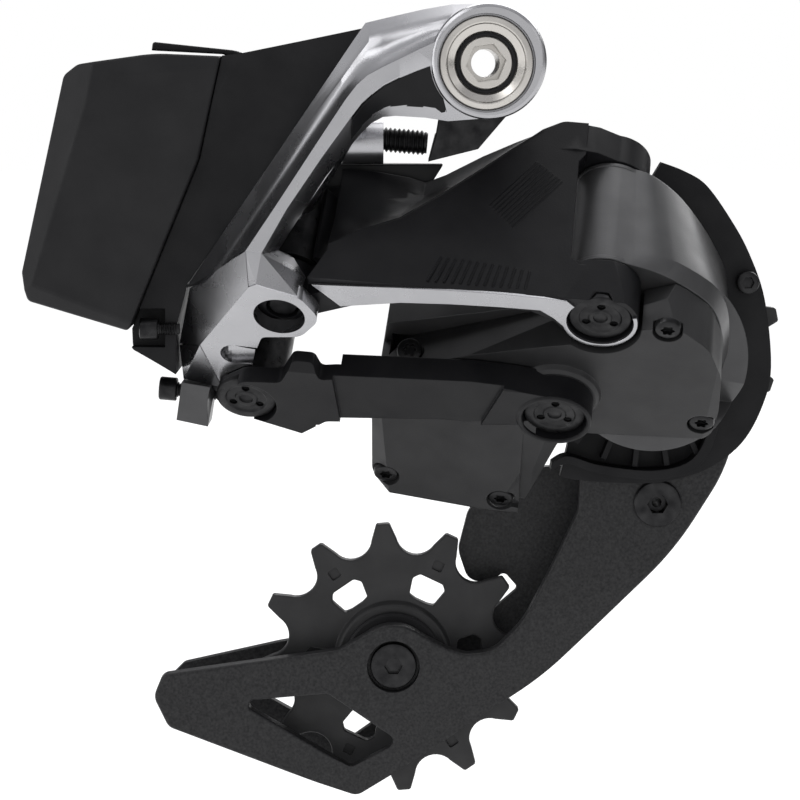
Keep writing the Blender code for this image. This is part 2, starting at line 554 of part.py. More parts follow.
def make_lower_knuckle():
    side = arc(PIN_C, BARREL_RADIUS, 225, 62, 14)
    side += rounded([(41.5, -19.0, 6.0), (46.6, -23.2, 5.0), (48.2, -34.0, 20.0), (47.0, -52.0), (20.0, -52.0)])
    housing = extrude("p_knuckle_housing", [side[::-1]], *HOUSING, LINK, "satin_grey")
    bay = extrude("housing_bay", [BAY], MOTOR_BAY_TOP, HOUSING[1], LINK)
    pivot = rod("housing_pivot", 17.0, -KNUCKLE_INBOARD, -4.0, AT_CAGE)
    fuse(housing, bay, pivot)
    cut(housing,
        box("cover_room", (19.0, -48.9, HOUSING[1]), (70.0, 0.0, 70.0), LINK),
        box("cover_room_left", (-40.0, -90.0, HOUSING[1]), (20.9, 0.0, 70.0), LINK),
        inboard_trim(KNUCKLE_INBOARD),
        rod("housing_bore_c", PIN_RADIUS + GAP, 0.0, 60.0, AT_C),
        box("motor_room_high", (-12.4, -50.3, 28.8), (26.6, -38.0, 33.0), LINK),
        rod("gear_room_high", 7.2, 30.8, 34.0, AT_D),
        rod("spring_room", 9.6, -30.0, -7.5, AT_CAGE))

    cover_shape = rounded(COVER) + arc(PIN_C, 7.2, 230, 375, 14)
    cover = extrude("gearbox_cover", [cover_shape], HOUSING[1] + GAP, COVER_BOTTOM, LINK, "cover_grey")
    cut(cover,
        inboard_trim(FLANGE[1] - 0.4),
        box("motor_room_low", (-12.4, -53.4, 30.0), (26.6, -38.0, 40.0), LINK),
        rod("gear_room_low", 7.2, 30.0, 36.0, AT_D),
        rod("cover_bore_d", PIN_RADIUS + GAP, 20.0, 60.0, AT_D),
        rod("cover_spring_room", 17.3, -30.0, -3.6, AT_CAGE))
    for index, place in enumerate(COVER_SCREWS):
        seat = empty("cover_screw_%d_axis" % (index + 1), LINK, (*place, COVER_BOTTOM))
        cut(cover, rod("cover_screw_seat_%d" % (index + 1), 2.5, -1.6, 4.0, seat, steps=SMALL_STEPS),
            rod("cover_screw_hole_%d" % (index + 1), 1.3, -7.0, 4.0, seat, steps=SMALL_STEPS))
        make_cover_screw("cover_screw_%d" % (index + 1), seat)
    link_pin("link_pin_d", AT_D, 37.0, INNER_LINK[1] - PIN_HEAD_SINK, PIN_HEAD_RADIUS)


COVER_SCREWS = [(36.1, -18.6), (44.2, -43.6), (-9.4, -37.6), (-12.2, -62.0), (9.0, -64.6)]


def make_cover_screw(name, frame):
    screw = turned(name, [(0, -0.2), (1.9, -0.2), (2.2, -0.5), (2.2, -1.3), (1.0, -1.3), (1.0, -6.5), (0, -6.5)],
                   frame, "black_steel", SMALL_STEPS)
    cut(screw, rod(name + "_socket", 0.9, -0.9, 1.0, frame, steps=6))


def make_drive():
    """Motor and worm lie along the linkage's x axis; the worm turns a wheel on the axis of pin D."""
    worm_offset = 5.6 + 2.0 + GAP
    along = Matrix.Rotation(math.pi / 2, 3, "Y")
    motor_axis = empty("motor_axis", LINK, (0, PIN_D[1] - worm_offset, 33.4), along)
    rod("gearbox_motor", 4.2, -11.8, 9.6, motor_axis, "machined_steel")
    worm_profile = [(0, 25.8), (1.4, 25.8)]
    for turn in range(5):
        level = 24.6 - 2.4 * turn
        worm_profile += [(1.4, level), (2.0, level - 0.5), (2.0, level - 1.1), (1.4, level - 1.6)]
    worm_profile += [(1.4, 10.2), (0, 10.2)]
    turned("motor_worm", worm_profile, motor_axis, "machined_steel", 8)
    teeth = 24
    rim = []
    for tooth in range(teeth):
        for share, radius in ((0.0, 5.0), (0.3, 5.0), (0.5, 5.6), (0.8, 5.6)):
            angle = 2 * math.pi * (tooth + share) / teeth
            rim.append((radius * math.cos(angle), radius * math.sin(angle)))
    extrude("drive_gear", [rim, circle(1.6, steps=SMALL_STEPS)], 31.6, 35.0, AT_D, "bronze")


def make_flange():
    """The black end plate that carries the cage pivot; its rim stands proud round the housing."""
    x, z = CAGE_PIVOT
    rim = [(33.6, -18.6, 1.5), (41.3, -22.2, 3.0), (46.3, -28.5, 8.0), (49.6, -34.8, 12.0), (52.8, -43.3, 14.0),
           (54.3, -55.7, 14.0), (53.2, -62.4, 12.0), (49.4, -70.2, 8.0), (42.6, -75.1, 10.0), (35.5, -77.2, 12.0),
           (28.4, -77.7, 12.0), (18.9, -77.0, 10.0), (14.8, -76.2, 2.0), (14.8, -62.0, 6.0), (14.0, -48.0, 14.0),
           (22.0, -30.0, 10.0), (27.0, -19.4, 3.0)]
    flange = extrude("pivot_flange", [rounded(rim, 3)], -FLANGE[1], -FLANGE[0], SIDE, "black_plastic")
    cut(flange, rod("flange_bore", 6.0, -30.0, 0.0, AT_CAGE),
        rod("flange_screw_hole", 1.5, -30.0, 0.0, FLANGE_SCREW_FRAME, steps=SMALL_STEPS))
    cap_screw("flange_screw", FLANGE_SCREW_FRAME, 2.1, 1.8, 1.1, 3.4, 1.0)


def make_flange_frames():
    global FLANGE_SCREW_FRAME
    FLANGE_SCREW_FRAME = empty("flange_screw_axis", SIDE, (49.4, -40.0, -FLANGE[0] + 0.3))


# ---------------------------------------------------------------- cage

def make_cage_pivot():
    turned("cage_axle", [(0, -7.9), (4.2, -7.9), (4.2, -OUTER_PLATE[0] + 0.3), (0, -OUTER_PLATE[0] + 0.3)],
           AT_CAGE, "machined_steel")
    steps = 10
    turns = 3
    radius = 7.0
    path = [(radius * math.cos(2 * math.pi * i / steps), radius * math.sin(2 * math.pi * i / steps),
             -8.8 - 7.4 * i / (steps * turns)) for i in range(steps * turns + 1)]
    wire("cage_spring", path, 0.75, AT_CAGE, "spring_steel")


def make_cage():
    outer = [(51.6, -50.0, 12.0), (50.8, -62.0, 30.0), (45.9, -77.0, 30.0), (37.2, -91.2, 60.0),
             (12.6, -115.5, 60.0), (-14.7, -134.1, 60.0),
             (-22.9, -139.2, 2.5), (-35.1, -134.6, 20.0), (-58.8, -125.4, 2.5), (-61.6, -119.5, 3.0),
             (-59.8, -115.2, 2.0), (-26.3, -110.4, 6.0)]
    outer += arc(TENSION_CENTRE, 8.1, 128, 50, 6)
    outer += [(-5.9, -110.0), (-2.1, -111.2, 4.0), (3.0, -110.6, 6.0), (8.6, -105.0, 20.0), (14.3, -93.8, 30.0),
              (19.0, -83.6, 5.0)]
    body = rounded(outer + arc(CAGE_PIVOT, 17.8, 230, 50, 14))
    window = rounded([(-45.5, -120.4, 1.0), (-28.4, -118.9, 1.5), (-14.6, -128.4, 1.5), (-24.0, -133.4, 1.5)])
    plate = extrude("outer_cage_plate", [body, window], -OUTER_PLATE[1], -OUTER_PLATE[0], SIDE, "carbon_plate")
    cut(plate,
        rod("outer_plate_seat", 4.9, -22.9, 0.0, AT_TENSION),
        rod("outer_plate_hole", AXLE_RADIUS + GAP, -30.0, 0.0, AT_TENSION),
        rod("outer_plate_spacer_hole", 2.1, -30.0, 0.0, AT_SPACER),
        rod("outer_plate_pivot_hole", AXLE_RADIUS + GAP, -30.0, 0.0, AT_CAGE))

    inner = [(40.5, -86.0, 30.0), (30.0, -99.0, 60.0), (11.0, -116.5, 60.0), (-14.7, -133.0, 60.0),
             (-22.9, -137.6, 2.5), (-35.1, -133.6, 20.0), (-57.6, -124.4, 2.5), (-59.4, -118.6, 2.0),
             (-56.8, -116.0, 2.0), (-38.1, -111.8, 20.0), (-25.8, -109.6, 4.0)]
    inner += arc(TENSION_CENTRE, 9.0, 126, 60, 5)
    inner += [(-6.0, -108.0), (1.0, -107.5, 6.0), (8.4, -101.1, 1.0), (5.6, -97.9, 1.0), (3.6, -99.4, 2.0),
              (-1.2, -100.2, 3.0), (-3.4, -93.6, 4.0), (-0.8, -87.6, 3.0), (12.0, -73.0, 10.0)]
    inner_body = rounded(inner + arc(CAGE_PIVOT, 13.0, 215, -60, 16))
    inner_window = rounded([(-46.5, -119.4, 1.0), (-30.0, -117.8, 1.5), (-18.0, -126.6, 1.5), (-25.0, -131.6, 1.5)])
    back = extrude("inner_cage_plate", [inner_body, inner_window], -INNER_PLATE[1], -INNER_PLATE[0], SIDE,
                   "carbon_plate")
    cut(back,
        rod("inner_plate_hole", AXLE_RADIUS + GAP, -40.0, -30.0, AT_TENSION),
        rod("inner_plate_spacer_hole", 2.1, -40.0, -30.0, AT_SPACER),
        rod("inner_plate_pivot_hole", AXLE_RADIUS + GAP, -40.0, -30.0, AT_CAGE))

    tube("cage_spacer", 2.0, 2.9, -INNER_PLATE[0] + GAP, -OUTER_PLATE[1] - GAP, AT_SPACER, "machined_steel")
    spacer_bolt = turned("cage_spacer_bolt", [
        (0.9, -19.9), (4.1, -19.9), (4.5, -20.2), (4.5, -20.6), (1.75, -20.6), (1.75, -37.4), (0.9, -37.4)],
        AT_SPACER, "black_steel", ring=True)
    cut(spacer_bolt, hexagon("spacer_bolt_socket", 1.7, -22.0, -18.0, AT_SPACER))
    tension_bolt = turned("tension_bolt", [
        (0, -21.4), (4.1, -21.4), (4.4, -21.7), (4.4, -22.7), (AXLE_RADIUS, -22.7), (AXLE_RADIUS, -37.4), (0, -37.4)],
        AT_TENSION, "black_steel")
    cut(tension_bolt, hexagon("tension_bolt_socket", 1.5, -22.4, -20.0, AT_TENSION))
    guide_bolt = turned("guide_bolt", [
        (0, -21.2), (AXLE_RADIUS, -21.2), (AXLE_RADIUS, -36.7), (4.4, -36.7), (4.4, -38.1), (4.1, -38.4), (0, -38.4)],
        AT_CAGE, "black_steel")
    cut(guide_bolt, hexagon("guide_bolt_socket", 1.5, -39.0, -37.3, AT_CAGE))


# ---------------------------------------------------------------- pulleys

def pulley_outline(phase):
    """A roller seat between two straight-flanked teeth, repeated round the pitch circle."""
    pitch_radius = CHAIN_PITCH / (2 * math.sin(math.pi / TEETH))
    outline = []
    for tooth in range(TEETH):
        middle = math.radians(phase) + 2 * math.pi * (tooth + 0.5) / TEETH
        for t in range(5):
            turn = middle + math.pi - math.radians(66) + math.radians(132) * t / 4
            outline.append((pitch_radius * math.cos(middle) + ROLLER_RADIUS * math.cos(turn) * 1.02,
                            pitch_radius * math.sin(middle) + ROLLER_RADIUS * math.sin(turn) * 1.02))
        tooth_middle = middle + math.pi / TEETH
        outline += [(TIP_RADIUS * math.cos(tooth_middle + s), TIP_RADIUS * math.sin(tooth_middle + s))
                    for s in (-0.047, 0.047)]
    return sorted(outline, key=lambda p: math.atan2(p[1], p[0]))


def pulley_window(angle):
    """A rounded opening between the hub and the rim."""
    shape = [(12.4, -2.6, 1.0), (16.8, -3.6, 1.2), (16.8, 3.6, 1.2), (12.4, 2.6, 1.0)]
    turn = Matrix.Rotation(math.radians(angle), 2)
    return [tuple(turn @ Vector(p)) for p in rounded(shape, 1)]


def make_pulley(prefix, frame, phase):
    half = PULLEY_THICKNESS / 2
    windows = [pulley_window(phase + 60 * k) for k in range(6)]
    loops = [pulley_outline(phase), circle(BEARING[1] + GAP)] + windows
    wheel = extrude(prefix + "_pulley", loops, -PULLEY_MID - half, -PULLEY_MID + half, frame, "pulley_grey")
    hub = BEARING[2] / 2
    fuse(wheel, tube(prefix + "_pulley_hub", BEARING[1] + GAP - 0.01, 11.2, -PULLEY_MID - hub, -PULLEY_MID + hub,
                     frame))
    tube(prefix + "_bearing", BEARING[0] + 0.1, BEARING[1], -PULLEY_MID - hub, -PULLEY_MID + hub, frame,
         "machined_steel")
    low, high = -INNER_PLATE[0] + GAP, -OUTER_PLATE[1] - GAP
    tube(prefix + "_outer_cap", BEARING[0] + 0.1, 9.4, -PULLEY_MID + hub + GAP, high, frame, "black_plastic")
    tube(prefix + "_inner_cap", BEARING[0] + 0.1, 9.4, low, -PULLEY_MID - hub - GAP, frame, "black_plastic")


def main():
    clear_scene()
    make_materials()
    make_frames()
    make_small_frames()
    make_flange_frames()
    make_hanger_side()
    make_upper_knuckle()
    make_battery()
    make_adjusting_screws()
    make_outer_link()
    make_inner_link()
    make_lower_knuckle()
    make_drive()
    make_flange()
    make_cage_pivot()
    make_cage()
    make_pulley("guide", AT_CAGE, 12.0)
    make_pulley("tension", AT_TENSION, 4.5)


main()
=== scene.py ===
"""Looks of the rear derailleur: camera, studio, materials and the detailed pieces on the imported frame.

Every shape is made in millimetres in one of a few local frames and stored in metres in the row frame.
SIDE has x forward, y up and z outboard. LINK has z along the linkage pins, towards their heads.
"""

import json
import math

import bmesh
import bpy
from mathutils import Matrix, Vector


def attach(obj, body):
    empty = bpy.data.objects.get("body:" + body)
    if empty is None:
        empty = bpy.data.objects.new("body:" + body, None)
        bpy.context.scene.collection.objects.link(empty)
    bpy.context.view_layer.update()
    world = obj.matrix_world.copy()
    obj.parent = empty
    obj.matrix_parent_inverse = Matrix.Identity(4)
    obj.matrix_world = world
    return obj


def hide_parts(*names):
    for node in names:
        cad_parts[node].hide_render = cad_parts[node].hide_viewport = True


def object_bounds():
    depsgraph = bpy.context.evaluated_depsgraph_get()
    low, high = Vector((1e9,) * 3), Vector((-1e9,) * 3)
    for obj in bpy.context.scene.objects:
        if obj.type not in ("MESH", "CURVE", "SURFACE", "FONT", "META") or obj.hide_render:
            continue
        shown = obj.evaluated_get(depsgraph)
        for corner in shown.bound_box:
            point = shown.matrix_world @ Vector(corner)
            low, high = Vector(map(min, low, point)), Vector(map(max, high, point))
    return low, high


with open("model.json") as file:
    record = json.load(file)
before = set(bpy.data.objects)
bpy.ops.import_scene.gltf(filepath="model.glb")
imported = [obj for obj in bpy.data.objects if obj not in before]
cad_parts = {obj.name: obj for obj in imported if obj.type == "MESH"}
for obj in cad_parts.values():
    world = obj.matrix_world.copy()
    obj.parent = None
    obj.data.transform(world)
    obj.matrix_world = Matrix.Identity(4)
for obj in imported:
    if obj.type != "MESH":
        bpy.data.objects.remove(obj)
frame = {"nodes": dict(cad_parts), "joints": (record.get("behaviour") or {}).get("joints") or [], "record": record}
cad_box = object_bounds()
record = frame["record"]
joints = {j["name"]: j for j in frame["joints"]}
MM = 0.001


# ---------------------------------------------------------------- local frames

PIN = Vector(joints["link_a_pivot"]["axis"])
ALONG = (Vector((1, 0, 0)) - PIN * PIN.x).normalized()
LINK = Matrix((ALONG, PIN.cross(ALONG), PIN)).transposed().to_4x4()
SIDE = Matrix.Rotation(math.pi / 2, 4, "X")
WORLD = Matrix.Identity(4)


def in_frame(place, local):
    """A row-frame point in metres as millimetres of a local frame."""
    return local.inverted() @ (Vector(place) / MM)


def at_joint(name, local):
    """The local frame moved along its own plane onto a joint's axis."""
    spot = in_frame(joints[name]["pos_m"], local)
    return moved(local, spot.x, spot.y)


def moved(local, x, y, z=0.0):
    return local @ Matrix.Translation((x, y, z))


def spun(local, degrees, axis):
    return local @ Matrix.Rotation(math.radians(degrees), 4, axis)


AT_A = at_joint("link_a_pivot", LINK)
AT_B = at_joint("link_b_pivot", LINK)
AT_C = at_joint("link_c_pivot", LINK)
AT_D = at_joint("drive_gear_turn", LINK)
PIN_A, PIN_C, PIN_D = (tuple(in_frame(joints[name]["pos_m"], LINK))[:2]
                       for name in ("link_a_pivot", "link_c_pivot", "drive_gear_turn"))
AT_CAGE = at_joint("cage_pivot", SIDE)
AT_TENSION = at_joint("tension_spin", SIDE)


# ---------------------------------------------------------------- modelling tools

def polar(radius, angle):
    """The point at an angle in radians."""
    return radius * math.cos(angle), radius * math.sin(angle)


def arc(centre, radius, start, end, steps):
    """Points on a circle, angles in degrees."""
    turns = [polar(radius, math.radians(start + (end - start) * i / steps)) for i in range(steps + 1)]
    return [(centre[0] + x, centre[1] + y) for x, y in turns]


def circle(radius, centre=(0, 0), steps=64):
    return arc(centre, radius, 0, 360, steps)[:-1]


def rounded(corners, steps=6):
    """Turns (x, y, fillet radius) corners into a closed outline; a corner without a radius stays sharp."""
    outline = []
    for i, corner in enumerate(corners):
        here = Vector(corner[:2])
        if len(corner) < 3:
            outline.append(tuple(here))
            continue
        before = (Vector(corners[i - 1][:2]) - here).normalized()
        after = (Vector(corners[(i + 1) % len(corners)][:2]) - here).normalized()
        half = before.angle(after) / 2
        middle = here + (before + after).normalized() * corner[2] / math.sin(half)
        first = here + before * corner[2] / math.tan(half) - middle
        last = here + after * corner[2] / math.tan(half) - middle
        start = math.atan2(first.y, first.x)
        sweep = (math.atan2(last.y, last.x) - start + math.pi) % (2 * math.pi) - math.pi
        start, sweep = math.degrees(start), math.degrees(sweep)
        outline += arc(middle, corner[2], start, start + sweep, steps)
    return outline


def flow(points, steps=6):
    """A smooth open curve through the points."""
    ends = [points[0]] + list(points) + [points[-1]]
    curve = []
    for a, b, c, d in zip(ends, ends[1:], ends[2:], ends[3:]):
        a, b, c, d = (Vector(p) for p in (a, b, c, d))
        for k in range(steps):
            t = k / steps
            curve.append(tuple(0.5 * (2 * b + (c - a) * t + (2 * a - 5 * b + 4 * c - d) * t * t
                                      + (3 * b - a - 3 * c + d) * t ** 3)))
    return curve + [tuple(points[-1])]


def piece(name, work, local=WORLD):
    """A bmesh laid out in millimetres of a local frame becomes an object in the row frame."""
    bmesh.ops.recalc_face_normals(work, faces=work.faces)
    mesh = bpy.data.meshes.new(name)
    work.transform(Matrix.Scale(MM, 4) @ local)
    work.to_mesh(mesh)
    work.free()
    obj = bpy.data.objects.new(name, mesh)
    bpy.context.scene.collection.objects.link(obj)
    return obj


def loft(name, rings, local=WORLD, closed=False):
    """A skin over closed rings of 3D points, all of one length; closed joins the last ring to the first."""
    work = bmesh.new()
    rows = [[work.verts.new(p) for p in ring] for ring in rings]
    count = len(rows[0])
    pairs = list(zip(rows, rows[1:])) + ([(rows[-1], rows[0])] if closed else [])
    for a, b in pairs:
        for i in range(count):
            j = (i + 1) % count
            work.faces.new((a[i], a[j], b[j], b[i]))
    if not closed:
        work.faces.new(rows[0][::-1])
        work.faces.new(rows[-1])
    return piece(name, work, local)


def prism(name, outline, low, high, local=WORLD):
    """A flat outline without holes, extruded from low to high along local z."""
    return loft(name, [[(x, y, z) for x, y in outline] for z in (low, high)], local)


def hull(name, points, local=WORLD):
    work = bmesh.new()
    for point in points:
        work.verts.new(point)
    made = bmesh.ops.convex_hull(work, input=work.verts)
    loose = [v for v in made["geom_interior"] if isinstance(v, bmesh.types.BMVert)]
    bmesh.ops.delete(work, geom=loose, context="VERTS")
    return piece(name, work, local)


def box(name, low, high, local=WORLD):
    outline = [(low[0], low[1]), (high[0], low[1]), (high[0], high[1]), (low[0], high[1])]
    return prism(name, outline, low[2], high[2], local)


def turned(name, profile, local=WORLD, steps=72, ring=False):
    """profile is (radius, z), with both ends on the axis unless it is a ring, which closes on itself."""
    work = bmesh.new()
    turn = [2 * math.pi * k / steps for k in range(steps)]
    rows = []
    for radius, z in profile:
        if radius < 1e-6:
            rows.append([work.verts.new((0, 0, z))] * steps)
        else:
            rows.append([work.verts.new((*polar(radius, t), z)) for t in turn])
    pairs = list(zip(rows, rows[1:])) + ([(rows[-1], rows[0])] if ring else [])
    for a, b in pairs:
        for i in range(steps):
            j = (i + 1) % steps
            corners = []
            for vert in (a[i], a[j], b[j], b[i]):
                if vert not in corners:
                    corners.append(vert)
            if len(corners) > 2:
                work.faces.new(corners)
    return piece(name, work, local)


def rod(name, radius, low, high, local=WORLD, steps=64):
    return turned(name, [(0, high), (radius, high), (radius, low), (0, low)], local, steps)


def tube(name, inner, outer, low, high, local=WORLD, steps=72):
    return turned(name, [(outer, high), (outer, low), (inner, low), (inner, high)], local, steps, ring=True)


def hexagon(name, inradius, low, high, local=WORLD):
    return rod(name, inradius / math.cos(math.pi / 6), low, high, local, steps=6)


def plate(name, loops, low, high, edge, local=WORLD, segments=3):
    """A plate with any holes, from a 2D curve, all its rims rounded by edge mm."""
    curve = bpy.data.curves.new(name, "CURVE")
    curve.dimensions = "2D"
    curve.fill_mode = "BOTH"
    curve.extrude = (high - low) / 2 - edge
    curve.bevel_depth = edge
    curve.bevel_resolution = segments
    curve.offset = -edge
    for loop in loops:
        spline = curve.splines.new("POLY")
        spline.points.add(len(loop) - 1)
        spline.use_cyclic_u = True
        for point, (x, y) in zip(spline.points, loop):
            point.co = (x, y, 0, 1)
    source = bpy.data.objects.new(name + "_curve", curve)
    bpy.context.scene.collection.objects.link(source)
    bpy.context.view_layer.update()
    evaluated = source.evaluated_get(bpy.context.evaluated_depsgraph_get())
    mesh = bpy.data.meshes.new_from_object(evaluated)
    work = bmesh.new()
    work.from_mesh(mesh)
    bpy.data.objects.remove(source, do_unlink=True)
    bpy.data.meshes.remove(mesh)
    bmesh.ops.remove_doubles(work, verts=work.verts, dist=0.001)
    bmesh.ops.translate(work, verts=work.verts, vec=(0, 0, (low + high) / 2))
    return piece(name, work, local)


def shave(obj, corners, keep, local=WORLD, reach=80):
    """Cuts off what lies beyond the plane through three points, on the side away from keep."""
    a, b, c = (Vector(p) for p in corners)
    normal = (b - a).cross(c - a).normalized()
    if normal.dot(Vector(keep) - a) > 0:
        normal.negate()
    turn = normal.to_track_quat("Z", "X").to_matrix().to_4x4()
    place = local @ Matrix.Translation((a + b + c) / 3) @ turn
    return cut(obj, box("shave", (-reach, -reach, 0), (reach, reach, 2 * reach), place))


def gather(obj, *others):
    """Several closed shapes kept as one object."""
    work = bmesh.new()
    work.from_mesh(obj.data)
    for other in others:
        work.from_mesh(other.data)
        bpy.data.objects.remove(other, do_unlink=True)
    work.to_mesh(obj.data)
    work.free()
    return obj


def threaded(name, radius, pitch, low, high, local=WORLD, bore=0.0, depth=None, columns=36):
    """A helical thread that tapers to its root at both ends; bore leaves a hole down the middle."""
    depth = depth or pitch * 0.5
    rows = int((high - low) / pitch * 8) + 1
    rings = []
    for row in range(rows + 1):
        z = low + (high - low) * row / rows
        fade = min(1.0, (z - low) / pitch, (high - z) / pitch)
        ring = []
        for column in range(columns):
            phase = (z / pitch - column / columns) % 1.0
            crest = max(0.0, min(1.0, 2.6 * (0.5 - abs(phase - 0.5)) - 0.15))
            reach = radius - depth + depth * crest * fade
            ring.append((*polar(reach, 2 * math.pi * column / columns), z))
        rings.append(ring)
    if not bore:
        return loft(name, rings, local)
    for z in (high, low):
        rings.append([(*spot, z) for spot in circle(bore, steps=columns)])
    return loft(name, rings, local, closed=True)


def star(name, radius, low, high, local):
    """A cutter for a six-lobed socket."""
    turns = [math.pi * step / 24 for step in range(48)]
    return prism(name, [polar(radius * (0.86 + 0.14 * math.cos(6 * t)), t) for t in turns], low, high, local)


def apply_modifiers(obj):
    bpy.context.view_layer.update()
    evaluated = obj.evaluated_get(bpy.context.evaluated_depsgraph_get())
    mesh = bpy.data.meshes.new_from_object(evaluated)
    old = obj.data
    obj.modifiers.clear()
    obj.data = mesh
    bpy.data.meshes.remove(old)
    return obj


def combine(obj, tools, operation):
    for tool in tools:
        step = obj.modifiers.new(operation.lower(), "BOOLEAN")
        step.operation = operation
        step.object = tool
        step.solver = "MANIFOLD"
    apply_modifiers(obj)
    for tool in tools:
        bpy.data.objects.remove(tool, do_unlink=True)
    return obj


def fuse(obj, *tools):
    return combine(obj, tools, "UNION")


def cut(obj, *tools):
    return combine(obj, tools, "DIFFERENCE")


def soften(obj, width, angle=30, segments=3):
    """Makes flat areas whole, rounds edges steeper than angle by width mm, and smooths the shading."""
    work = bmesh.new()
    work.from_mesh(obj.data)
    bmesh.ops.remove_doubles(work, verts=work.verts, dist=0.01 * MM)
    bmesh.ops.dissolve_limit(work, angle_limit=math.radians(1.0), verts=work.verts, edges=work.edges)
    work.to_mesh(obj.data)
    work.free()
    bevel = obj.modifiers.new("edges", "BEVEL")
    bevel.width = width * MM
    bevel.segments = segments
    bevel.limit_method = "ANGLE"
    bevel.angle_limit = math.radians(angle)
    bevel.miter_outer = "MITER_ARC"
    apply_modifiers(obj)
    return smooth(obj, angle)


def smooth(obj, angle=30):
    obj.data.shade_smooth()
    obj.data.set_sharp_from_angle(angle=math.radians(angle))
    obj.modifiers.new("normals", "WEIGHTED_NORMAL").keep_sharp = True
    return obj


def paint(obj, slot):
    obj.data.materials.clear()
    obj.data.materials.append(finishes[slot].material)


def settle(obj, slot, body, *nodes):
    """Gives a piece its finish, the body it rides on and the CAD nodes it stands for."""
    paint(obj, slot)
    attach(obj, body)
    if nodes:
        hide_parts(*nodes)


# ---------------------------------------------------------------- camera and studio

LIT_POINT = Vector((-0.01, 0.01, -0.06))
FLOOR_GAP = 0.035


def make_camera():
    """Level with the hanger bolt, 45 cm outboard of it, tilted down a little."""
    data = bpy.data.cameras.new("camera")
    data.sensor_width = 36.0
    data.lens = 113.85
    data.clip_start = 0.01
    camera = bpy.data.objects.new("camera", data)
    camera.location = Vector((-14.65, -449.0, -1.2)) * MM
    camera.rotation_euler = (math.radians(90 - 7.43), 0, 0)
    bpy.context.scene.collection.objects.link(camera)
    bpy.context.scene.camera = camera


def area_light(name, place, size, power):
    """A rectangular lamp aimed at the middle of the object."""
    data = bpy.data.lights.new(name, "AREA")
    data.shape = "RECTANGLE"
    data.size, data.size_y = size
    data.energy = power
    lamp = bpy.data.objects.new(name, data)
    lamp.location = place
    lamp.rotation_euler = (Vector(place) - LIT_POINT).to_track_quat("Z", "Y").to_euler()
    bpy.context.scene.collection.objects.link(lamp)


def make_studio():
    scene = bpy.context.scene
    scene.view_settings.view_transform = "Standard"
    work = bmesh.new()
    bmesh.ops.create_circle(work, cap_ends=True, segments=96, radius=4.0)
    mesh = bpy.data.meshes.new("floor")
    work.to_mesh(mesh)
    work.free()
    floor = bpy.data.objects.new("floor", mesh)
    floor.location.z = cad_box[0][2] - FLOOR_GAP
    scene.collection.objects.link(floor)
    white = bpy.data.materials.new("floor_white")
    white.use_nodes = True
    shader = white.node_tree.nodes["Principled BSDF"]
    shader.inputs["Base Color"].default_value = (0.35, 0.35, 0.35, 1)
    shader.inputs["Roughness"].default_value = 0.9
    shader.inputs["Specular IOR Level"].default_value = 0.0
    shader.inputs["Emission Color"].default_value = (1, 1, 1, 1)
    shader.inputs["Emission Strength"].default_value = 0.85
    mesh.materials.append(white)
    make_world(scene)
    area_light("key_top_left", (-0.55, -0.45, 0.75), (0.45, 0.45), 1.5)
    area_light("strip_left", (-0.75, -0.25, 0.05), (0.18, 0.9), 1.5)
    area_light("top_softbox", (0.1, 0.15, 0.8), (0.9, 0.5), 2.2)
    area_light("right_fill", (0.7, -0.5, 0.3), (0.3, 0.5), 0.5)
    area_light("back_rim", (0.25, 0.7, 0.35), (0.8, 0.4), 3)


def add_node(tree, kind, **settings):
    made = tree.nodes.new("ShaderNode" + kind)
    for key, value in settings.items():
        setattr(made, key, value)
    return made


def map_range(tree, source, start, end, low, high, kind="LINEAR"):
    """Low to high as the source goes from start to end."""
    made = add_node(tree, "MapRange", interpolation_type=kind)
    for key, value in (("From Min", start), ("From Max", end), ("To Min", low), ("To Max", high)):
        made.inputs[key].default_value = value
    tree.links.new(source, made.inputs["Value"])
    return made.outputs[0]


def make_world(scene):
    """Even white where the camera looks past the object. Reflections see a room that is bright above and
    below, dark between, with a soft bright patch in front and another on the left."""
    world = bpy.data.worlds.new("studio")
    scene.world = world
    world.use_nodes = True
    tree = world.node_tree
    tree.nodes.clear()
    link = tree.links.new
    coords = add_node(tree, "TexCoord")
    split = add_node(tree, "SeparateXYZ")
    link(coords.outputs["Generated"], split.inputs[0])
    height = add_node(tree, "Math", operation="MULTIPLY_ADD")
    height.inputs[1].default_value = 0.5
    height.inputs[2].default_value = 0.5
    link(split.outputs["Z"], height.inputs[0])
    ramp = add_node(tree, "ValToRGB")
    below, above = ramp.color_ramp.elements
    below.color = (0.42, 0.42, 0.43, 1)
    above.color = (0.62, 0.62, 0.64, 1)
    ramp.color_ramp.elements.new(0.52).color = (0.035, 0.035, 0.037, 1)
    link(height.outputs[0], ramp.inputs[0])
    patches = add_node(tree, "Math", operation="MAXIMUM")
    link(map_range(tree, split.outputs["Y"], -0.72, -0.97, 0, 0.78, "SMOOTHSTEP"), patches.inputs[0])
    link(map_range(tree, split.outputs["X"], -0.55, -0.95, 0, 0.55, "SMOOTHSTEP"), patches.inputs[1])
    total = add_node(tree, "Mix", data_type="RGBA", blend_type="ADD")
    total.inputs[0].default_value = 1.0
    # A mix node's colours are its inputs 6 and 7 and its output 2.
    link(ramp.outputs[0], total.inputs[6])
    link(patches.outputs[0], total.inputs[7])
    room = add_node(tree, "Background")
    link(total.outputs[2], room.inputs["Color"])
    seen = add_node(tree, "Background")
    seen.inputs["Color"].default_value = (1, 1, 1, 1)
    mix = add_node(tree, "MixShader")
    link(add_node(tree, "LightPath").outputs["Is Camera Ray"], mix.inputs[0])
    link(room.outputs[0], mix.inputs[1])
    link(seen.outputs[0], mix.inputs[2])
    link(mix.outputs[0], add_node(tree, "OutputWorld").inputs[0])


# ---------------------------------------------------------------- materials

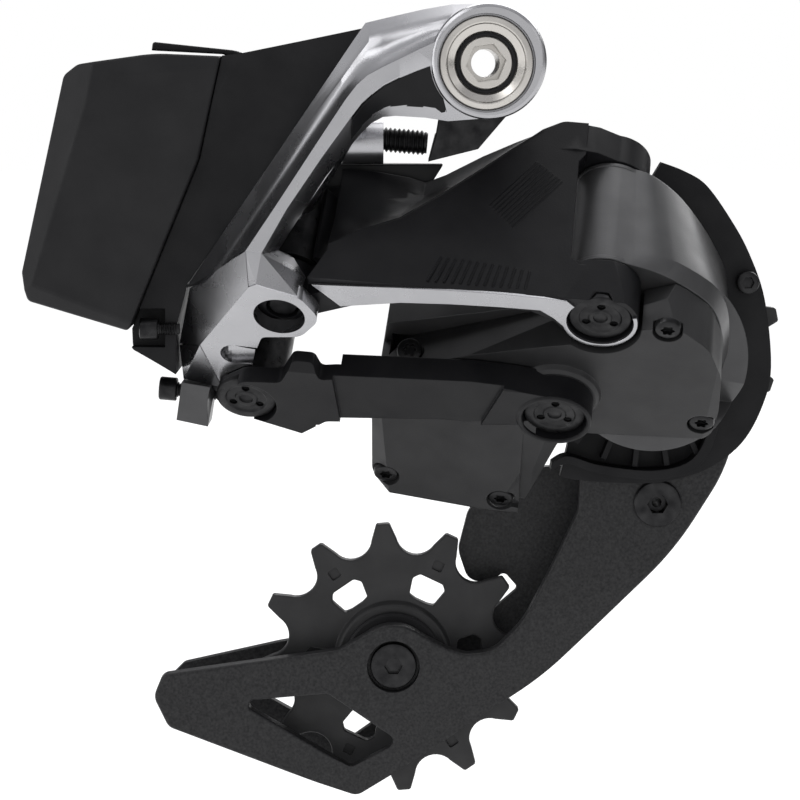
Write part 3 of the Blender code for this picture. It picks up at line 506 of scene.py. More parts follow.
class Finish:
    """A node material whose textures are laid out in millimetres of the row frame."""

    def __init__(self, name, metallic, specular, edge):
        """edge is the radius in mm with which sharp edges catch the light."""
        self.material = bpy.data.materials.new(name)
        self.material.use_nodes = True
        self.tree = self.material.node_tree
        self.link = self.tree.links.new
        self.shader = self.tree.nodes["Principled BSDF"]
        self.set("Metallic", metallic)
        self.set("Specular IOR Level", specular)
        coords = add_node(self.tree, "TexCoord")
        self.place = add_node(self.tree, "Mapping")
        self.place.inputs["Scale"].default_value = (1000, 1000, 1000)
        self.link(coords.outputs["Object"], self.place.inputs[0])
        self.surface = None
        if edge:
            bevel = add_node(self.tree, "Bevel", samples=4)
            bevel.inputs["Radius"].default_value = edge * MM
            self.surface = bevel.outputs[0]
            self.link(self.surface, self.shader.inputs["Normal"])

    def set(self, key, value):
        self.shader.inputs[key].default_value = value

    def noise(self, size, detail):
        """Noise whose features are about size mm across."""
        made = add_node(self.tree, "TexNoise")
        made.inputs["Scale"].default_value = 1.0 / size
        made.inputs["Detail"].default_value = detail
        self.link(self.place.outputs[0], made.inputs["Vector"])
        return made.outputs["Fac"]

    def mottle(self, size, detail, dark, light, start=0.3, end=0.7):
        """Base colour from dark to light as the noise goes from start to end."""
        ramp = add_node(self.tree, "ValToRGB")
        for stop, place, colour in zip(ramp.color_ramp.elements, (start, end), (dark, light)):
            stop.position = place
            stop.color = (*colour, 1)
        self.link(self.noise(size, detail), ramp.inputs[0])
        self.link(ramp.outputs[0], self.shader.inputs["Base Color"])

    def rough(self, size, detail, low, high):
        made = map_range(self.tree, self.noise(size, detail), 0.3, 0.7, low, high)
        self.link(made, self.shader.inputs["Roughness"])

    def bump(self, size, detail, depth):
        """Bumps of about size mm across and depth mm high."""
        made = add_node(self.tree, "Bump")
        made.inputs["Strength"].default_value = 1.0
        made.inputs["Distance"].default_value = depth * MM
        self.link(self.noise(size, detail), made.inputs["Height"])
        if self.surface:
            self.link(self.surface, made.inputs["Normal"])
        self.link(made.outputs[0], self.shader.inputs["Normal"])


def grey(level, blue=0.001):
    return level, level, level + blue


def plastic(dark, light, low, high, metallic=0.0, blue=0.001):
    """A moulded or painted surface, from its darker and lighter grey and the range of its roughness."""
    return (metallic, 0.3 if metallic else 0.17, 0.25, (7.0, 5.0, grey(dark, blue), grey(light, blue)),
            (4.0, 4.0, low, high), (0.28, 3.0, 0.018))


# Each finish: metallic, specular level and edge radius; then noise size, detail and two ends for the colour
# and the roughness, and noise size, detail and depth for the bumps. A colour or roughness can also be plain.
FINISHES = {
    "polished_aluminium": (1.0, 0.5, 0.0, (8.0, 3.0, grey(0.40, 0.015), grey(0.44, 0.015)),
                           (6.0, 4.0, 0.25, 0.30), (0.22, 2.0, 0.006)),
    "machined_steel": (1.0, 0.5, 0.2, (0.56, 0.54, 0.51), (3.0, 4.0, 0.20, 0.36), (0.15, 2.0, 0.006)),
    "black_steel": (0.85, 0.5, 0.2, (2.5, 5.0, grey(0.012), grey(0.035)), (1.4, 4.0, 0.26, 0.46),
                    (0.25, 3.0, 0.012)),
    "spring_steel": (1.0, 0.5, 0.0, (0.30, 0.30, 0.31), (1.0, 3.0, 0.24, 0.4), (0.2, 2.0, 0.01)),
    "bronze": (1.0, 0.5, 0.15, (0.8, 4.0, (0.36, 0.23, 0.10), (0.52, 0.35, 0.16)),
               (1.0, 3.0, 0.3, 0.46), None),
    "board_green": (0.0, 0.5, 0.0, (1.2, 1.0, (0.015, 0.07, 0.03), (0.03, 0.13, 0.055)), 0.4, None),
    "clear_lens": (0.0, 0.5, 0.0, (0.30, 0.33, 0.35), (1.0, 3.0, 0.08, 0.16), None),
    "carbon_plate": (0.0, 0.25, 0.3, (0.45, 6.0, grey(0.006), grey(0.028), 0.30, 0.75),
                     (1.1, 4.0, 0.38, 0.5), (0.4, 5.0, 0.02)),
    "link_black": plastic(0.006, 0.010, 0.30, 0.40),
    "battery_black": plastic(0.011, 0.016, 0.42, 0.52),
    "satin_grey": plastic(0.072, 0.090, 0.32, 0.40, 0.6, 0.002),
    "cover_grey": plastic(0.020, 0.028, 0.36, 0.46, 0.3),
    "black_plastic": plastic(0.007, 0.012, 0.48, 0.60),
    "pulley_grey": plastic(0.023, 0.034, 0.42, 0.54, 0.3),
}


def make_finish(name, metallic, specular, edge, colour, rough, bump):
    made = Finish(name, metallic, specular, edge)
    if len(colour) > 3:
        made.mottle(*colour)
    else:
        made.set("Base Color", (*colour, 1))
    if isinstance(rough, tuple):
        made.rough(*rough)
    else:
        made.set("Roughness", rough)
    if bump:
        made.bump(*bump)
    return made


finishes = {name: make_finish(name, *facts) for name, facts in FINISHES.items()}


def dress_cad_nodes():
    """Each CAD node gets the finish of its slot."""
    for part in record["subparts"]:
        paint(frame["nodes"][part["node"]], part["material_slot"])


# ---------------------------------------------------------------- hanger side

AT_BOSS = moved(SIDE, 0.4, 0.3)

# The radii of the link ears, of the holes for the pins and of the recesses for their heads.
EAR = 6.6
PIN_HOLE = 2.9
HEAD_SEAT = 5.7


def make_hanger_side():
    bolt = turned("bolt", [
        (2.45, -0.5), (4.9, -0.5), (4.9, 14.6), (7.8, 14.6), (8.05, 14.85), (8.05, 16.1), (7.8, 16.42),
        (6.95, 16.6), (6.75, 16.5), (6.6, 16.2), (5.4, 15.5), (5.25, 15.2), (5.25, 14.9), (4.45, 14.9),
        (4.45, 15.4), (4.3, 15.6), (2.45, 15.6)], SIDE, 96, ring=True)
    cut(bolt, hexagon("bolt_socket", 3.0, 10.5, 17.5, spun(SIDE, 8, "Z")))
    settle(smooth(bolt), "machined_steel", "hanger_side", "mounting_bolt")
    shank = threaded("bolt_thread", 4.95, 1.0, -9.0, -0.5, SIDE, bore=2.45, columns=48)
    settle(smooth(shank), "machined_steel", "hanger_side")
    section = [(4.85 + x, 15.25 + z) for x, z in (polar(0.36, t / 2) for t in range(12))]
    seal = turned("bolt_seal", section, SIDE, 64, ring=True)
    settle(smooth(seal, 60), "black_plastic", "hanger_side")
    ring = arc((0, 0), 10.15, -14, 223, 60)
    tab = [(-8.4, -12.6), (-9.7, -17.2), (-0.9, -15.0)]
    washer = plate("stop_washer", [ring + tab, circle(5.2)], 0.1, 2.0, 0.25, SIDE)
    lip = [(-8.4, -12.4), (-9.6, -17.0), (-7.0, -16.3), (-5.7, -11.6)]
    fuse(washer, plate("stop_lip", [lip], -5.4, 1.2, 0.2, SIDE))
    settle(smooth(washer), "black_steel", "hanger_side", "stop_washer")


# ---------------------------------------------------------------- upper knuckle

# Stations down the arm from the boss. Each holds the points, in the row frame, of the outer silhouette, the
# two sides of the bright ridge and the inner edge.
ARM = [
    ((0.0, -10.5, 9.6), (0.0, -16.5, 4.6), (0.0, -16.5, 0.4), (0.0, -12.5, -9.4)),
    ((-5.0, -10.0, 9.5), (-8.7, -16.5, 3.5), (-8.7, -16.5, 0.1), (-6.4, -12.2, -9.9)),
    ((-9.8, -9.5, 8.7), (-11.8, -16.2, 2.1), (-11.8, -16.2, -1.0), (-10.4, -12.0, -9.3)),
    ((-14.7, -9.0, 7.6), (-14.7, -16.0, 0.7), (-14.7, -16.0, -2.2), (-15.4, -12.0, -9.0)),
    ((-17.3, -9.0, 7.0), (-17.6, -16.0, -0.7), (-17.4, -16.0, -3.6), (-17.6, -12.0, -9.2)),
    ((-19.8, -9.0, 6.4), (-20.2, -16.0, -2.1), (-19.6, -16.0, -5.3), (-19.5, -12.0, -10.2)),
    ((-22.3, -9.0, 2.8), (-22.0, -16.0, -3.7), (-21.1, -16.0, -6.7), (-21.2, -12.0, -11.8)),
    ((-25.0, -9.0, -1.1), (-24.0, -16.0, -6.3), (-22.8, -16.0, -8.9), (-23.2, -12.0, -14.2)),
    ((-31.9, -9.0, -11.3), (-29.4, -16.2, -14.4), (-28.0, -16.2, -16.0), (-27.6, -12.2, -19.6)),
    ((-40.7, -8.6, -24.0), (-35.6, -17.0, -23.8), (-33.9, -17.0, -24.6), (-32.4, -12.8, -27.0)),
    ((-51.5, -6.0, -39.6), (-41.0, -18.4, -31.8), (-38.3, -18.2, -32.2), (-35.7, -13.8, -32.1)),
]
ARM_BACK = -4.5
RIDGE_STEP = 0.6
BEVEL_STEPS = 5


def make_arm():
    """The left bevel is full near the outer edge and hollow near the ridge's foot."""
    rings = []
    for outer, left, right, inner in ARM:
        foot = Vector((left[0] - 0.2, left[1] + RIDGE_STEP, left[2] + 0.12))
        slope = []
        for step in range(1, BEVEL_STEPS + 1):
            share = step / (BEVEL_STEPS + 1)
            point = Vector(outer).lerp(foot, share)
            point.y -= 0.9 * math.sin(2 * math.pi * share) * (1 - 0.5 * share)
            slope.append(tuple(point))
        wall = Vector(right).lerp(Vector(inner), 0.5) - Vector((0.0, 0.5, 0.0))
        outer = (outer[0] - 0.8, outer[1], outer[2] + 0.45)
        rings.append([outer] + slope + [tuple(foot), left, right, tuple(wall), inner,
                                        (inner[0], ARM_BACK, inner[2]), (outer[0], ARM_BACK, outer[2])])
    return loft("upper_knuckle", rings)


def make_painted_reflection_skin():
    """A thin black skin over the arm's inner wall between the ridge and the boss: painted dark reflection where
    the polished metal mirrors its dark surroundings.
    """
    rings = []
    for outer, left, right, inner in ARM[1:8]:
        top = Vector(right) + Vector((0.1, -0.02, -0.35))
        low = Vector(inner) + Vector((0.1, -0.12, 0.3))
        middle = (Vector(right) + Vector(inner)) / 2 + Vector((0, -0.62, 0))
        front = [top, middle, low]
        rings.append([tuple(p) for p in front] + [tuple(p + Vector((0, 0.6, 0))) for p in reversed(front)])
    return loft("hollow", rings)


def barrel_a_room():
    return rod("barrel_a_room", 6.35, 20.9, 41.4, AT_A)


def barrel_b_room(high):
    return rod("barrel_b_room", 6.7, 26.0, high, AT_B)


def low_ear_room():
    return rod("low_ear_room", 5.8, 33.7, 41.6, AT_A)


def make_facets():
    """The bright facets below the arm, with the eye over pin A and the notch at the left."""
    left = hull("left_facet", [
        (-51.6, -5.6, -39.2), (-41.0, -18.3, -31.8), (-40.55, -18.9, -37.9), (-49.9, -6.1, -49.2),
        (-54.0, 0.0, -49.6), (-50.0, 2.0, -40.5), (-52.5, 5.0, -50.0), (-40.0, -7.0, -36.0),
        (-44.0, 2.0, -48.0)])
    foot = hull("foot_facet", [
        (-54.0, 0.0, -49.8), (-49.9, -6.1, -49.3), (-46.6, 1.85, -57.7), (-53.6, 3.0, -56.3),
        (-52.5, 5.0, -50.0), (-52.5, 6.0, -56.0), (-45.0, 5.0, -55.0), (-44.0, 2.0, -48.0)])
    roof = hull("roof", [
        (-41.0, -18.2, -31.8), (-38.3, -18.3, -32.1), (-35.8, -13.9, -31.9), (-40.5, -18.8, -37.7),
        (-39.2, -19.4, -37.2), (-31.9, -17.8, -39.9), (-30.9, -14.0, -36.6), (-33.0, -12.4, -33.4),
        (-40.0, -8.0, -33.0), (-38.0, -8.0, -40.0), (-33.0, -10.0, -40.0), (-34.0, -9.0, -33.0)])
    face = prism("face", rounded([
        (-45.1, -30.6), (-35.7, -13.6), (-34.3, -12.7), (-26.6, -15.6, 2.4), (-23.4, -20.5, 3.2),
        (-27.0, -25.8, 3.4), (-33.9, -26.8, 1.2), (-35.6, -32.2, 1.0), (-36.4, -38.6, 2.0),
        (-38.2, -41.4, 2.0), (-41.8, -42.1)]), 41.6, 44.5, LINK)
    facets = fuse(face, left, foot, roof)
    notch = turned("notch", [(0, 9.0), (2.6, 9.0), (2.6, 1.6), (2.5, 0.9), (2.25, 0.3), (1.8, -0.3),
                             (1.2, -0.7), (0.6, -0.93), (0, -1.0)],
                   spun(moved(WORLD, -45.4, -4.8, -50.5), 90, "Y"), 96)
    cut(facets, notch, rod("eye", 4.5, 41.2, 60.0, moved(AT_A, 0, 1.8)), barrel_a_room(), barrel_b_room(41.0),
        low_ear_room())
    settle(soften(facets, 0.18, 8), "polished_aluminium", "upper_knuckle")


def make_shade_darkened_barrels():
    """The two barrels that the link pins run in, parts of the knuckle's casting given a dark finish as painted
    shade, since they sit in shadow.
    """
    barrel_a = rod("barrel_a", 6.3, 20.9, 33.7, AT_A, 96)
    barrel_b = rod("barrel_b", EAR, 30.0, 44.3, AT_B, 96)
    cut(barrel_a, rod("bore_a", 3.2, 10.0, 60.0, AT_A))
    cut(barrel_b, rod("bore_b", PIN_HOLE, 26.0, 60.0, AT_B), rod("eye_room", 6.0, 41.0, 60.0, AT_A))
    # black_steel here is painted shade on what is the knuckle's bright casting.
    settle(smooth(gather(barrel_a, barrel_b)), "black_steel", "upper_knuckle")


def make_upper_knuckle():
    arm = make_arm()
    boss = turned("boss", [(0, 17.0), (9.1, 17.0), (9.6, 16.7), (9.85, 15.9), (9.85, 2.3), (0, 2.3)],
                  AT_BOSS, 96)
    web = hull("web", [
        (-20.5, -5.0, -9.8), (-20.5, 3.5, -9.8), (-31.5, -5.0, -25.5), (-42.0, -4.8, -26.0),
        (-42.0, 7.5, -40.0), (-32.0, -4.8, -9.5), (-36.0, 9.0, -33.0), (-38.6, 2.0, -40.5),
        (-36.6, 8.5, -29.5), (-33.0, 3.0, -24.0), (-27.0, 5.5, -18.0)])
    spine = hull("spine", [
        (-36.0, 9.0, -33.0), (-42.0, 7.5, -40.0), (-44.0, 12.0, -46.0), (-40.0, 11.0, -50.0),
        (-39.0, 2.0, -41.5), (-45.0, 2.0, -41.5), (-45.0, 4.0, -52.0), (-40.0, 6.0, -54.0)])
    lug_side = arc((2.7, -14.0), 3.8, 0, 360, 32)
    screw_lug = hull("screw_lug", [(x, *spot) for x in (-27.0, -17.6) for spot in lug_side])
    fuse(arm, boss, web, spine, screw_lug)
    cut(arm,
        rod("bore", 6.2, 0.0, 20.0, SIDE),
        rod("counterbore", 8.35, 14.2, 20.0, SIDE, 96),
        barrel_a_room(),
        low_ear_room(),
        rod("top_ear_room", 6.6, 0.0, 20.9, AT_A),
        barrel_b_room(60.0))
    settle(soften(arm, 0.22, 24), "polished_aluminium", "upper_knuckle", "b_knuckle")


def make_knuckle_details():
    """The dark rib over the adjusting screw, the grey lug of the limit screw, and a black skin on the arm's inner
    wall that paints in its dark reflection.
    """
    rib = hull("rib", [(-28.5, 6.3, -17.9), (-28.5, 8.4, -17.6), (-6.8, 6.3, -17.9), (-6.8, 7.6, -17.8),
                       (-28.5, 6.3, -22.6), (-28.5, 8.4, -22.6), (-9.0, 6.3, -21.4), (-9.0, 7.6, -21.4)])
    settle(soften(rib, 0.4, 30), "link_black", "upper_knuckle")
    lug_side = [(-53.6, -56.4), (-47.9, -57.4), (-49.0, -64.4), (-54.6, -63.2)]
    limit_lug = prism("limit_lug", lug_side, -8.5, 1.2, SIDE)
    cut(limit_lug, barrel_b_room(60.0))
    settle(soften(limit_lug, 0.25, 24), "satin_grey", "upper_knuckle")
    # A black skin over the polished inner wall between the ridge and the boss: painted dark reflection.
    hollow = cut(make_painted_reflection_skin(), rod("boss_room", 9.95, 0.0, 20.0, AT_BOSS, 96))
    settle(smooth(hollow), "link_black", "upper_knuckle")


# ---------------------------------------------------------------- battery and its mount

AT_BUTTON = moved(SIDE, -36.5, -12.0)
AT_LENS = moved(SIDE, -30.5, -4.5)
AT_LATCH = moved(SIDE, -42.4, 0.3)


def make_battery():
    shape = rounded([(-70.8, -0.2, 3.0), (-57.2, 1.7, 30.0), (-45.6, 1.2, 0.6), (-49.7, -16.65, 12.0),
                     (-62.3, -46.6, 0.8), (-80.0, -41.4, 1.2), (-81.0, -36.4, 1.5), (-73.5, -2.1, 2.0)], 10)
    pack = prism("battery", shape, -11.95, 9.0, SIDE)
    inside = (-62.0, 0.0, -20.0)
    shave(pack, [(-69.6, -9.0, -8.6), (-79.0, -9.0, -38.4), (-81.2, -6.6, -37.6)], inside)
    shave(pack, [(-79.0, -9.0, -38.4), (-62.0, -9.0, -45.0), (-62.0, -7.4, -47.4)], inside)
    shave(pack, [(-69.6, -9.0, -8.6), (-66.4, -9.0, -4.4), (-72.6, -7.2, -1.0)], inside)
    shave(pack, [(-66.4, -9.0, -2.2), (-46.0, -9.0, -0.6), (-56.0, -7.9, 1.8)], inside)
    for z in (-6.0, -38.0):
        shave(pack, [(-75.0, 12.0, -20.0), (-60.0, 12.0, z), (-70.0 - abs(z) / 8, 10.0, z)], inside)
    soften(pack, 0.5, 12, 4)
    settle(pack, "battery_black", "battery", "battery_pack")


def make_mount():
    shape = rounded([
        (-45.4, 1.3), (-42.5, 1.6, 8.0), (-20.6, 6.1), (-51.9, -38.4), (-54.0, -46.0), (-54.1, -54.3),
        (-62.0, -49.9, 1.2), (-62.1, -46.6), (-49.5, -16.6, 12.0)], 10)
    mount = prism("battery_mount", shape, -12.95, 8.0, SIDE)
    hollow = turned("hollow", [(0, 70), (30, 70), (30, -70), (0, -70)],
                    spun(moved(WORLD, -43.0, -35.6, -21.0), 34, "Y"), 128)
    cut(mount, hollow,
        box("latch_room", (-48.0, -4.5, -1.6), (-39.6, 6.5, 8.0)),
        box("board_room", (-60.0, -4.0, -26.0), (-47.0, 8.0, -14.0)),
        box("limit_screw_room", (-63.0, -12.0, -49.6), (-56.0, -3.0, -42.8)),
        box("web_room", (-44.6, -5.5, -45.0), (-15.0, 14.5, -8.0)),
        hull("front_room", [(-41.0, -18.0, -31.0), (-51.9, -9.0, -38.2), (-51.9, 14.0, -38.2),
                            (-53.9, -9.0, -46.0), (-53.9, 14.0, -46.0), (-53.9, -9.0, -60.0),
                            (-53.9, 14.0, -60.0), (-40.0, 14.0, -60.0), (-40.0, 14.0, -31.0)]),
        rod("button_room", 3.4, -16.0, -9.8, AT_BUTTON, 32),
        rod("lens_room", 1.5, -16.0, -11.5, AT_LENS, 24))
    shave(mount, [(-62.2, -8.0, -46.6), (-62.2, -8.0, -50.2), (-60.6, -8.9, -50.2)], (-55.0, 0.0, -46.0))
    soften(mount, 0.35, 24)
    settle(mount, "black_plastic", "upper_knuckle", "battery_mount")


def make_electronics():
    board = box("board", (-49.2, -3.2, -24.6), (-48.0, 7.2, -16.8))
    chips = [box("chip_%d" % k, (-49.75, -2.2 + 3.3 * k, -23.6 + 1.5 * k),
                 (-49.0, -0.2 + 3.3 * k, -20.6 + 1.2 * k)) for k in range(3)]
    settle(soften(gather(board, *chips), 0.08, 40, 1), "board_green", "upper_knuckle", "circuit_board")
    button = turned("button", [
        (0, -10.3), (2.9, -10.3), (3.0, -10.5), (3.0, -12.9), (2.75, -13.35), (2.2, -13.55), (1.5, -13.2),
        (0, -13.05)], AT_BUTTON, 48)
    settle(smooth(button), "black_plastic", "button", "function_button")
    lens = turned("lens", [(0, -11.8), (1.2, -11.8), (1.2, -12.6), (0.95, -12.9), (0, -13.0)],
                  AT_LENS, 32)
    settle(smooth(lens), "clear_lens", "upper_knuckle", "status_lens")
    latch = plate("latch", [rounded([(-15.6, 1.9), (-15.4, 3.4, 0.5), (-1.0, 1.9, 6.0), (0.4, 1.2),
                                     (0.4, -0.3), (-1.0, 0.3), (-3.2, 1.25)], 8)], -5.4, 3.4, 0.3, AT_LATCH)
    fuse(latch, rod("latch_eye", 1.5, -5.4, 3.4, AT_LATCH, 32))
    cut(latch, rod("latch_bore", 1.0, -9.0, 9.0, AT_LATCH, 24))
    for k in range(5):
        cut(latch, rod("grip", 0.22, -4.4, 2.4, moved(AT_LATCH, -14.0 + 0.9 * k, 3.42 - 0.09 * k), 12))
    settle(smooth(latch), "black_plastic", "latch", "battery_latch")
    pin = turned("latch_pin", [
        (0, 6.0), (0.6, 6.0), (0.75, 5.85), (0.75, -7.85), (0.6, -8.0), (0, -8.0)], AT_LATCH, 24)
    settle(smooth(pin), "machined_steel", "upper_knuckle", "latch_pin")


# ---------------------------------------------------------------- screws and pins

FLANGE_SCREW = (49.4, -40.0)


def along(place, dip):
    """A frame whose z points rearward from the place, dipped towards up by some degrees."""
    return spun(moved(WORLD, *place), dip - 90, "Y")


def cap_screw(name, slot, body, node, local, head_radius, head, radius, tip, socket, pitch, smooth_shank=0.0):
    """The head sits on local z from 0 to head; the thread runs down to -tip."""
    screw = turned(name, [
        (0, head), (head_radius - 0.35, head), (head_radius - 0.1, head - 0.12), (head_radius, head - 0.35),
        (head_radius, 0.15), (head_radius - 0.15, 0), (radius, 0), (radius, -0.3 - smooth_shank),
        (0, -0.3 - smooth_shank)], local, 48)
    cut(screw, hexagon(name + "_socket", socket, head * 0.4, head + 1.0, local))
    thread = threaded(name + "_thread", radius, pitch, -tip, -0.3 - smooth_shank, local)
    settle(smooth(gather(screw, thread)), slot, body, node)


def make_adjusting_screws():
    cap_screw("b_screw", "black_steel", "b_screw", "b_adjust_screw", along((-36.0, 2.6, -11.8), 5),
              3.2, 2.6, 2.2, 26.3, 1.5, 0.8)
    cap_screw("high_screw", "black_steel", "high_screw", "limit_screw_high", along((-57.2, -6.2, -46.3), 0),
              1.9, 3.2, 1.15, 3.8, 1.0, 0.45)
    cap_screw("low_screw", "black_steel", "low_screw", "limit_screw_low", along((-54.9, 4.5, -58.4), 5),
              2.1, 3.2, 1.35, 8.2, 1.0, 0.5)
    cap_screw("flange_screw_look", "black_steel", "lower_knuckle", "flange_screw",
              moved(SIDE, *FLANGE_SCREW, -16.9), 2.1, 1.8, 1.1, 3.4, 1.0, 0.5)


def pin(name, node, body, local, low, high, head):
    """A linkage pin; the head has a round drive with three spanner holes."""
    if not head:
        made = turned(name, [
            (0, high), (2.3, high), (2.6, high - 0.3), (2.6, low + 0.3), (2.3, low), (0, low)], local)
        settle(smooth(made), "black_steel", body, node)
        return
    made = turned(name, [
        (0, high - 0.45), (1.1, high - 0.45), (1.25, high - 0.1), (1.9, high - 0.1), (2.1, high - 0.3),
        (3.5, high - 0.3), (3.75, high), (4.9, high), (5.25, high - 0.1), (5.4, high - 0.35),
        (5.4, high - 1.2), (2.6, high - 1.2), (2.6, low + 0.3), (2.3, low), (0, low)], local, 96)
    holes = []
    for k in range(3):
        hole = moved(spun(local, 90 + 120 * k, "Z"), 2.75, 0)
        holes.append(rod(name + "_hole", 0.72, high - 0.9, high + 1, hole, 24))
    cut(made, *holes)
    settle(smooth(made), "black_steel", body, node)


def make_pins():
    pin("pin_a", "link_pin_a", "upper_knuckle", AT_A, 15.8, 40.6, False)
    pin("pin_b", "link_pin_b", "upper_knuckle", AT_B, 30.5, 47.1, True)
    pin("pin_c", "link_pin_c", "lower_knuckle", AT_C, 3.6, 40.2, True)
    pin("pin_d", "link_pin_d", "lower_knuckle", AT_D, 37.0, 47.1, True)


# ---------------------------------------------------------------- outer link

SKIN_TILT = 5.7
SKIN_LEVEL = 41.0
SKIN = spun(moved(LINK, 0, -13.55, SKIN_LEVEL), 90 + SKIN_TILT, "X")

# The flank's stations along the link: x, level of the skin's edge, and the inboard edge's y and level.
FLANK = [
    (-23.4, 34.4, -15.5, 13.7), (-17.8, 30.3, -15.9, 13.2), (-11.6, 27.1, -17.4, 12.6),
    (-8.7, 24.6, -18.4, 12.6), (-5.2, 21.5, -17.4, 11.3), (1.2, 15.4, -14.6, 8.6), (7.0, 9.6, -12.3, 6.6),
    (11.5, 5.6, -10.9, 5.0)]


def make_flank():
    """A hollow-ground band folded inboard from the skin's top edge."""
    rings = []
    for x, level, inner_y, inner_level in FLANK:
        edge = Vector((x, -13.3 + (SKIN_LEVEL - level) * 0.1, level))
        back = Vector((x, inner_y, inner_level))
        ring = []
        for step in range(9):
            share = step / 8
            point = edge.lerp(back, share)
            point.y -= 0.10 * (edge - back).length * math.sin(math.pi * share)
            ring.append(tuple(point))
        ring += [
            (x, inner_y - 1.6, inner_level + 0.4), (x, inner_y - 1.9, inner_level + 2.0),
            (x, (edge.y + back.y) / 2 - 3.6, (edge.z + back.z) / 2 + 1.0), (x, edge.y - 2.4, level + 1.6)]
        rings.append(ring)
    return loft("flank", rings, LINK)


def rib(start, end, width, height):
    """A thin raised line on the skin, between two (x, level) places."""
    a, b = (Vector((p[0], p[1] - SKIN_LEVEL)) for p in (start, end))
    side = (b - a).normalized().orthogonal() * width / 2
    base = [a - side, a + side, b + side, b - side]
    top = [a - side * 0.4, a + side * 0.4, b + side * 0.4, b - side * 0.4]
    return hull("rib", [(p.x, p.y, 0.1) for p in base] + [(p.x, p.y, -height) for p in top], SKIN)


def make_outer_link():
    c_ear = arc(PIN_C, EAR, -120, 100, 36)
    a_ear = arc(PIN_A, 5.5, 40, 345, 32)
    low = a_ear + [(-18.5, -20.6), (-10.0, -18.6), (3.8, -17.6), (12.5, -17.8), (16.6, -19.8), (19.4, -23.0)]
    low += c_ear + [(17.4, -13.7), (-10.0, -13.9), (-21.6, -16.1)]
    link = prism("outer_link", low, 32.4, 40.7, LINK)
    a_low = prism("a_low", a_ear + [(-20.6, -20.6), (-20.6, -16.0), (-21.6, -16.1)], 34.0, 40.9, LINK)
    top = arc(PIN_C, EAR, -150, 84, 40) + [
        (21.5, -10.6), (17.6, -10.0), (14.6, -10.4), (13.0, -14.0), (17.0, -17.5)]
    top_ear = prism("c_top", top, 3.0, 9.2, LINK)
    shape = rounded([
        (-26.0, -0.3), (-22.8, -7.4), (-17.8, -10.7), (-11.6, -13.9), (-5.2, -19.6), (1.2, -25.7),
        (11.4, -36.0, 2.0), (15.0, -38.2, 3.0), (19.4, -38.2), (19.4, -31.2, 0.8), (18.3, -29.6, 0.8),
        (18.5, -9.0, 0.8), (20.0, -7.6, 0.8), (22.6, -7.6), (22.6, -0.3)])
    skin = prism("skin", shape, 0.0, 2.6, SKIN)
    a_top = prism("a_top", arc(PIN_A, 5.5, 40, 300, 36) + [(-17.0, -22.0), (-17.0, -17.0)], 15.4, 20.6, LINK)
    tie = hull("tie", [
        (-20.5, -22.0, 20.6), (-20.5, -17.0, 20.6), (-20.5, -22.0, 15.4), (-20.5, -18.4, 15.4),
        (-8.0, -20.5, 17.0), (-8.0, -17.0, 17.0), (-8.0, -19.5, 22.0), (-8.0, -15.0, 22.0)], LINK)
    hood = prism("hood", arc(PIN_A, 7.9, -20, 50, 24) + arc(PIN_A, 6.9, 50, -20, 24), 18.0, 33.9, LINK)
    fuse(link, a_low, top_ear, skin, make_flank(), a_top, tie, hood)
    cut(link,
        rod("barrel_room", EAR, 9.2, 32.4, AT_C),
        rod("a_room", 6.8, 20.6, 34.0, AT_A),
        rod("hole_a", PIN_HOLE, 0.0, 60.0, AT_A),
        rod("hole_c", PIN_HOLE, -5.0, 60.0, AT_C),
        rod("counterbore", HEAD_SEAT, 38.9, 60.0, AT_C))
    shave(link, [(-26.0, -13.35, 36.0), (19.0, -13.05, 37.4), (0.0, -13.75, 41.0)], (0, -20, 30), LINK, 60)
    soften(link, 0.3, 22)
    ribs = []
    for step in range(9):
        t = step / 8
        ribs.append(rib((3.7 + 4.3 * t, 22.8 + 4.2 * t), (11.1 + 4.6 * t, 12.4 + 3.7 * t), 0.42, 0.16))
    for step in range(13):
        t = step / 12
        ribs.append(rib((-5.4 + 16.7 * t, 39.6), (-3.6 + 15.4 * t, 34.6 + 1.2 * t * t), 0.5, 0.16))
    settle(gather(link, *ribs), "link_black", "outer_arm", "outer_link")

    ring_start = 142
    ring_end = 378
    edge = [(-25.3, -15.5), (-10.0, -14.3), (-1.4, -13.8), (7.1, -13.55), (14.8, -13.6), (18.6, -13.9)]
    edge += arc(PIN_C, 5.75, ring_start, ring_end, 56)
    edge += arc(PIN_C, 6.5, ring_end, 196, 44)
    edge += [(16.4, -18.6), (14.1, -16.9), (7.2, -17.0), (-1.4, -17.4), (-10.0, -18.2), (-20.4, -20.6)]
    band = plate("bright_band", [edge], 40.5, 41.15, 0.12, LINK)
    settle(smooth(band), "polished_aluminium", "outer_arm")


# ---------------------------------------------------------------- inner link

BAR_ROOM = [(-21.6, -28.0), (-19.6, -48.0), (9.9, -28.0), (5.4, -41.2), (-0.5, -48.0)]
CHAMFER_ENDS = [(-24.4, -45.9, -52.0, 42.6), (15.0, -39.9, -48.0, 40.4)]


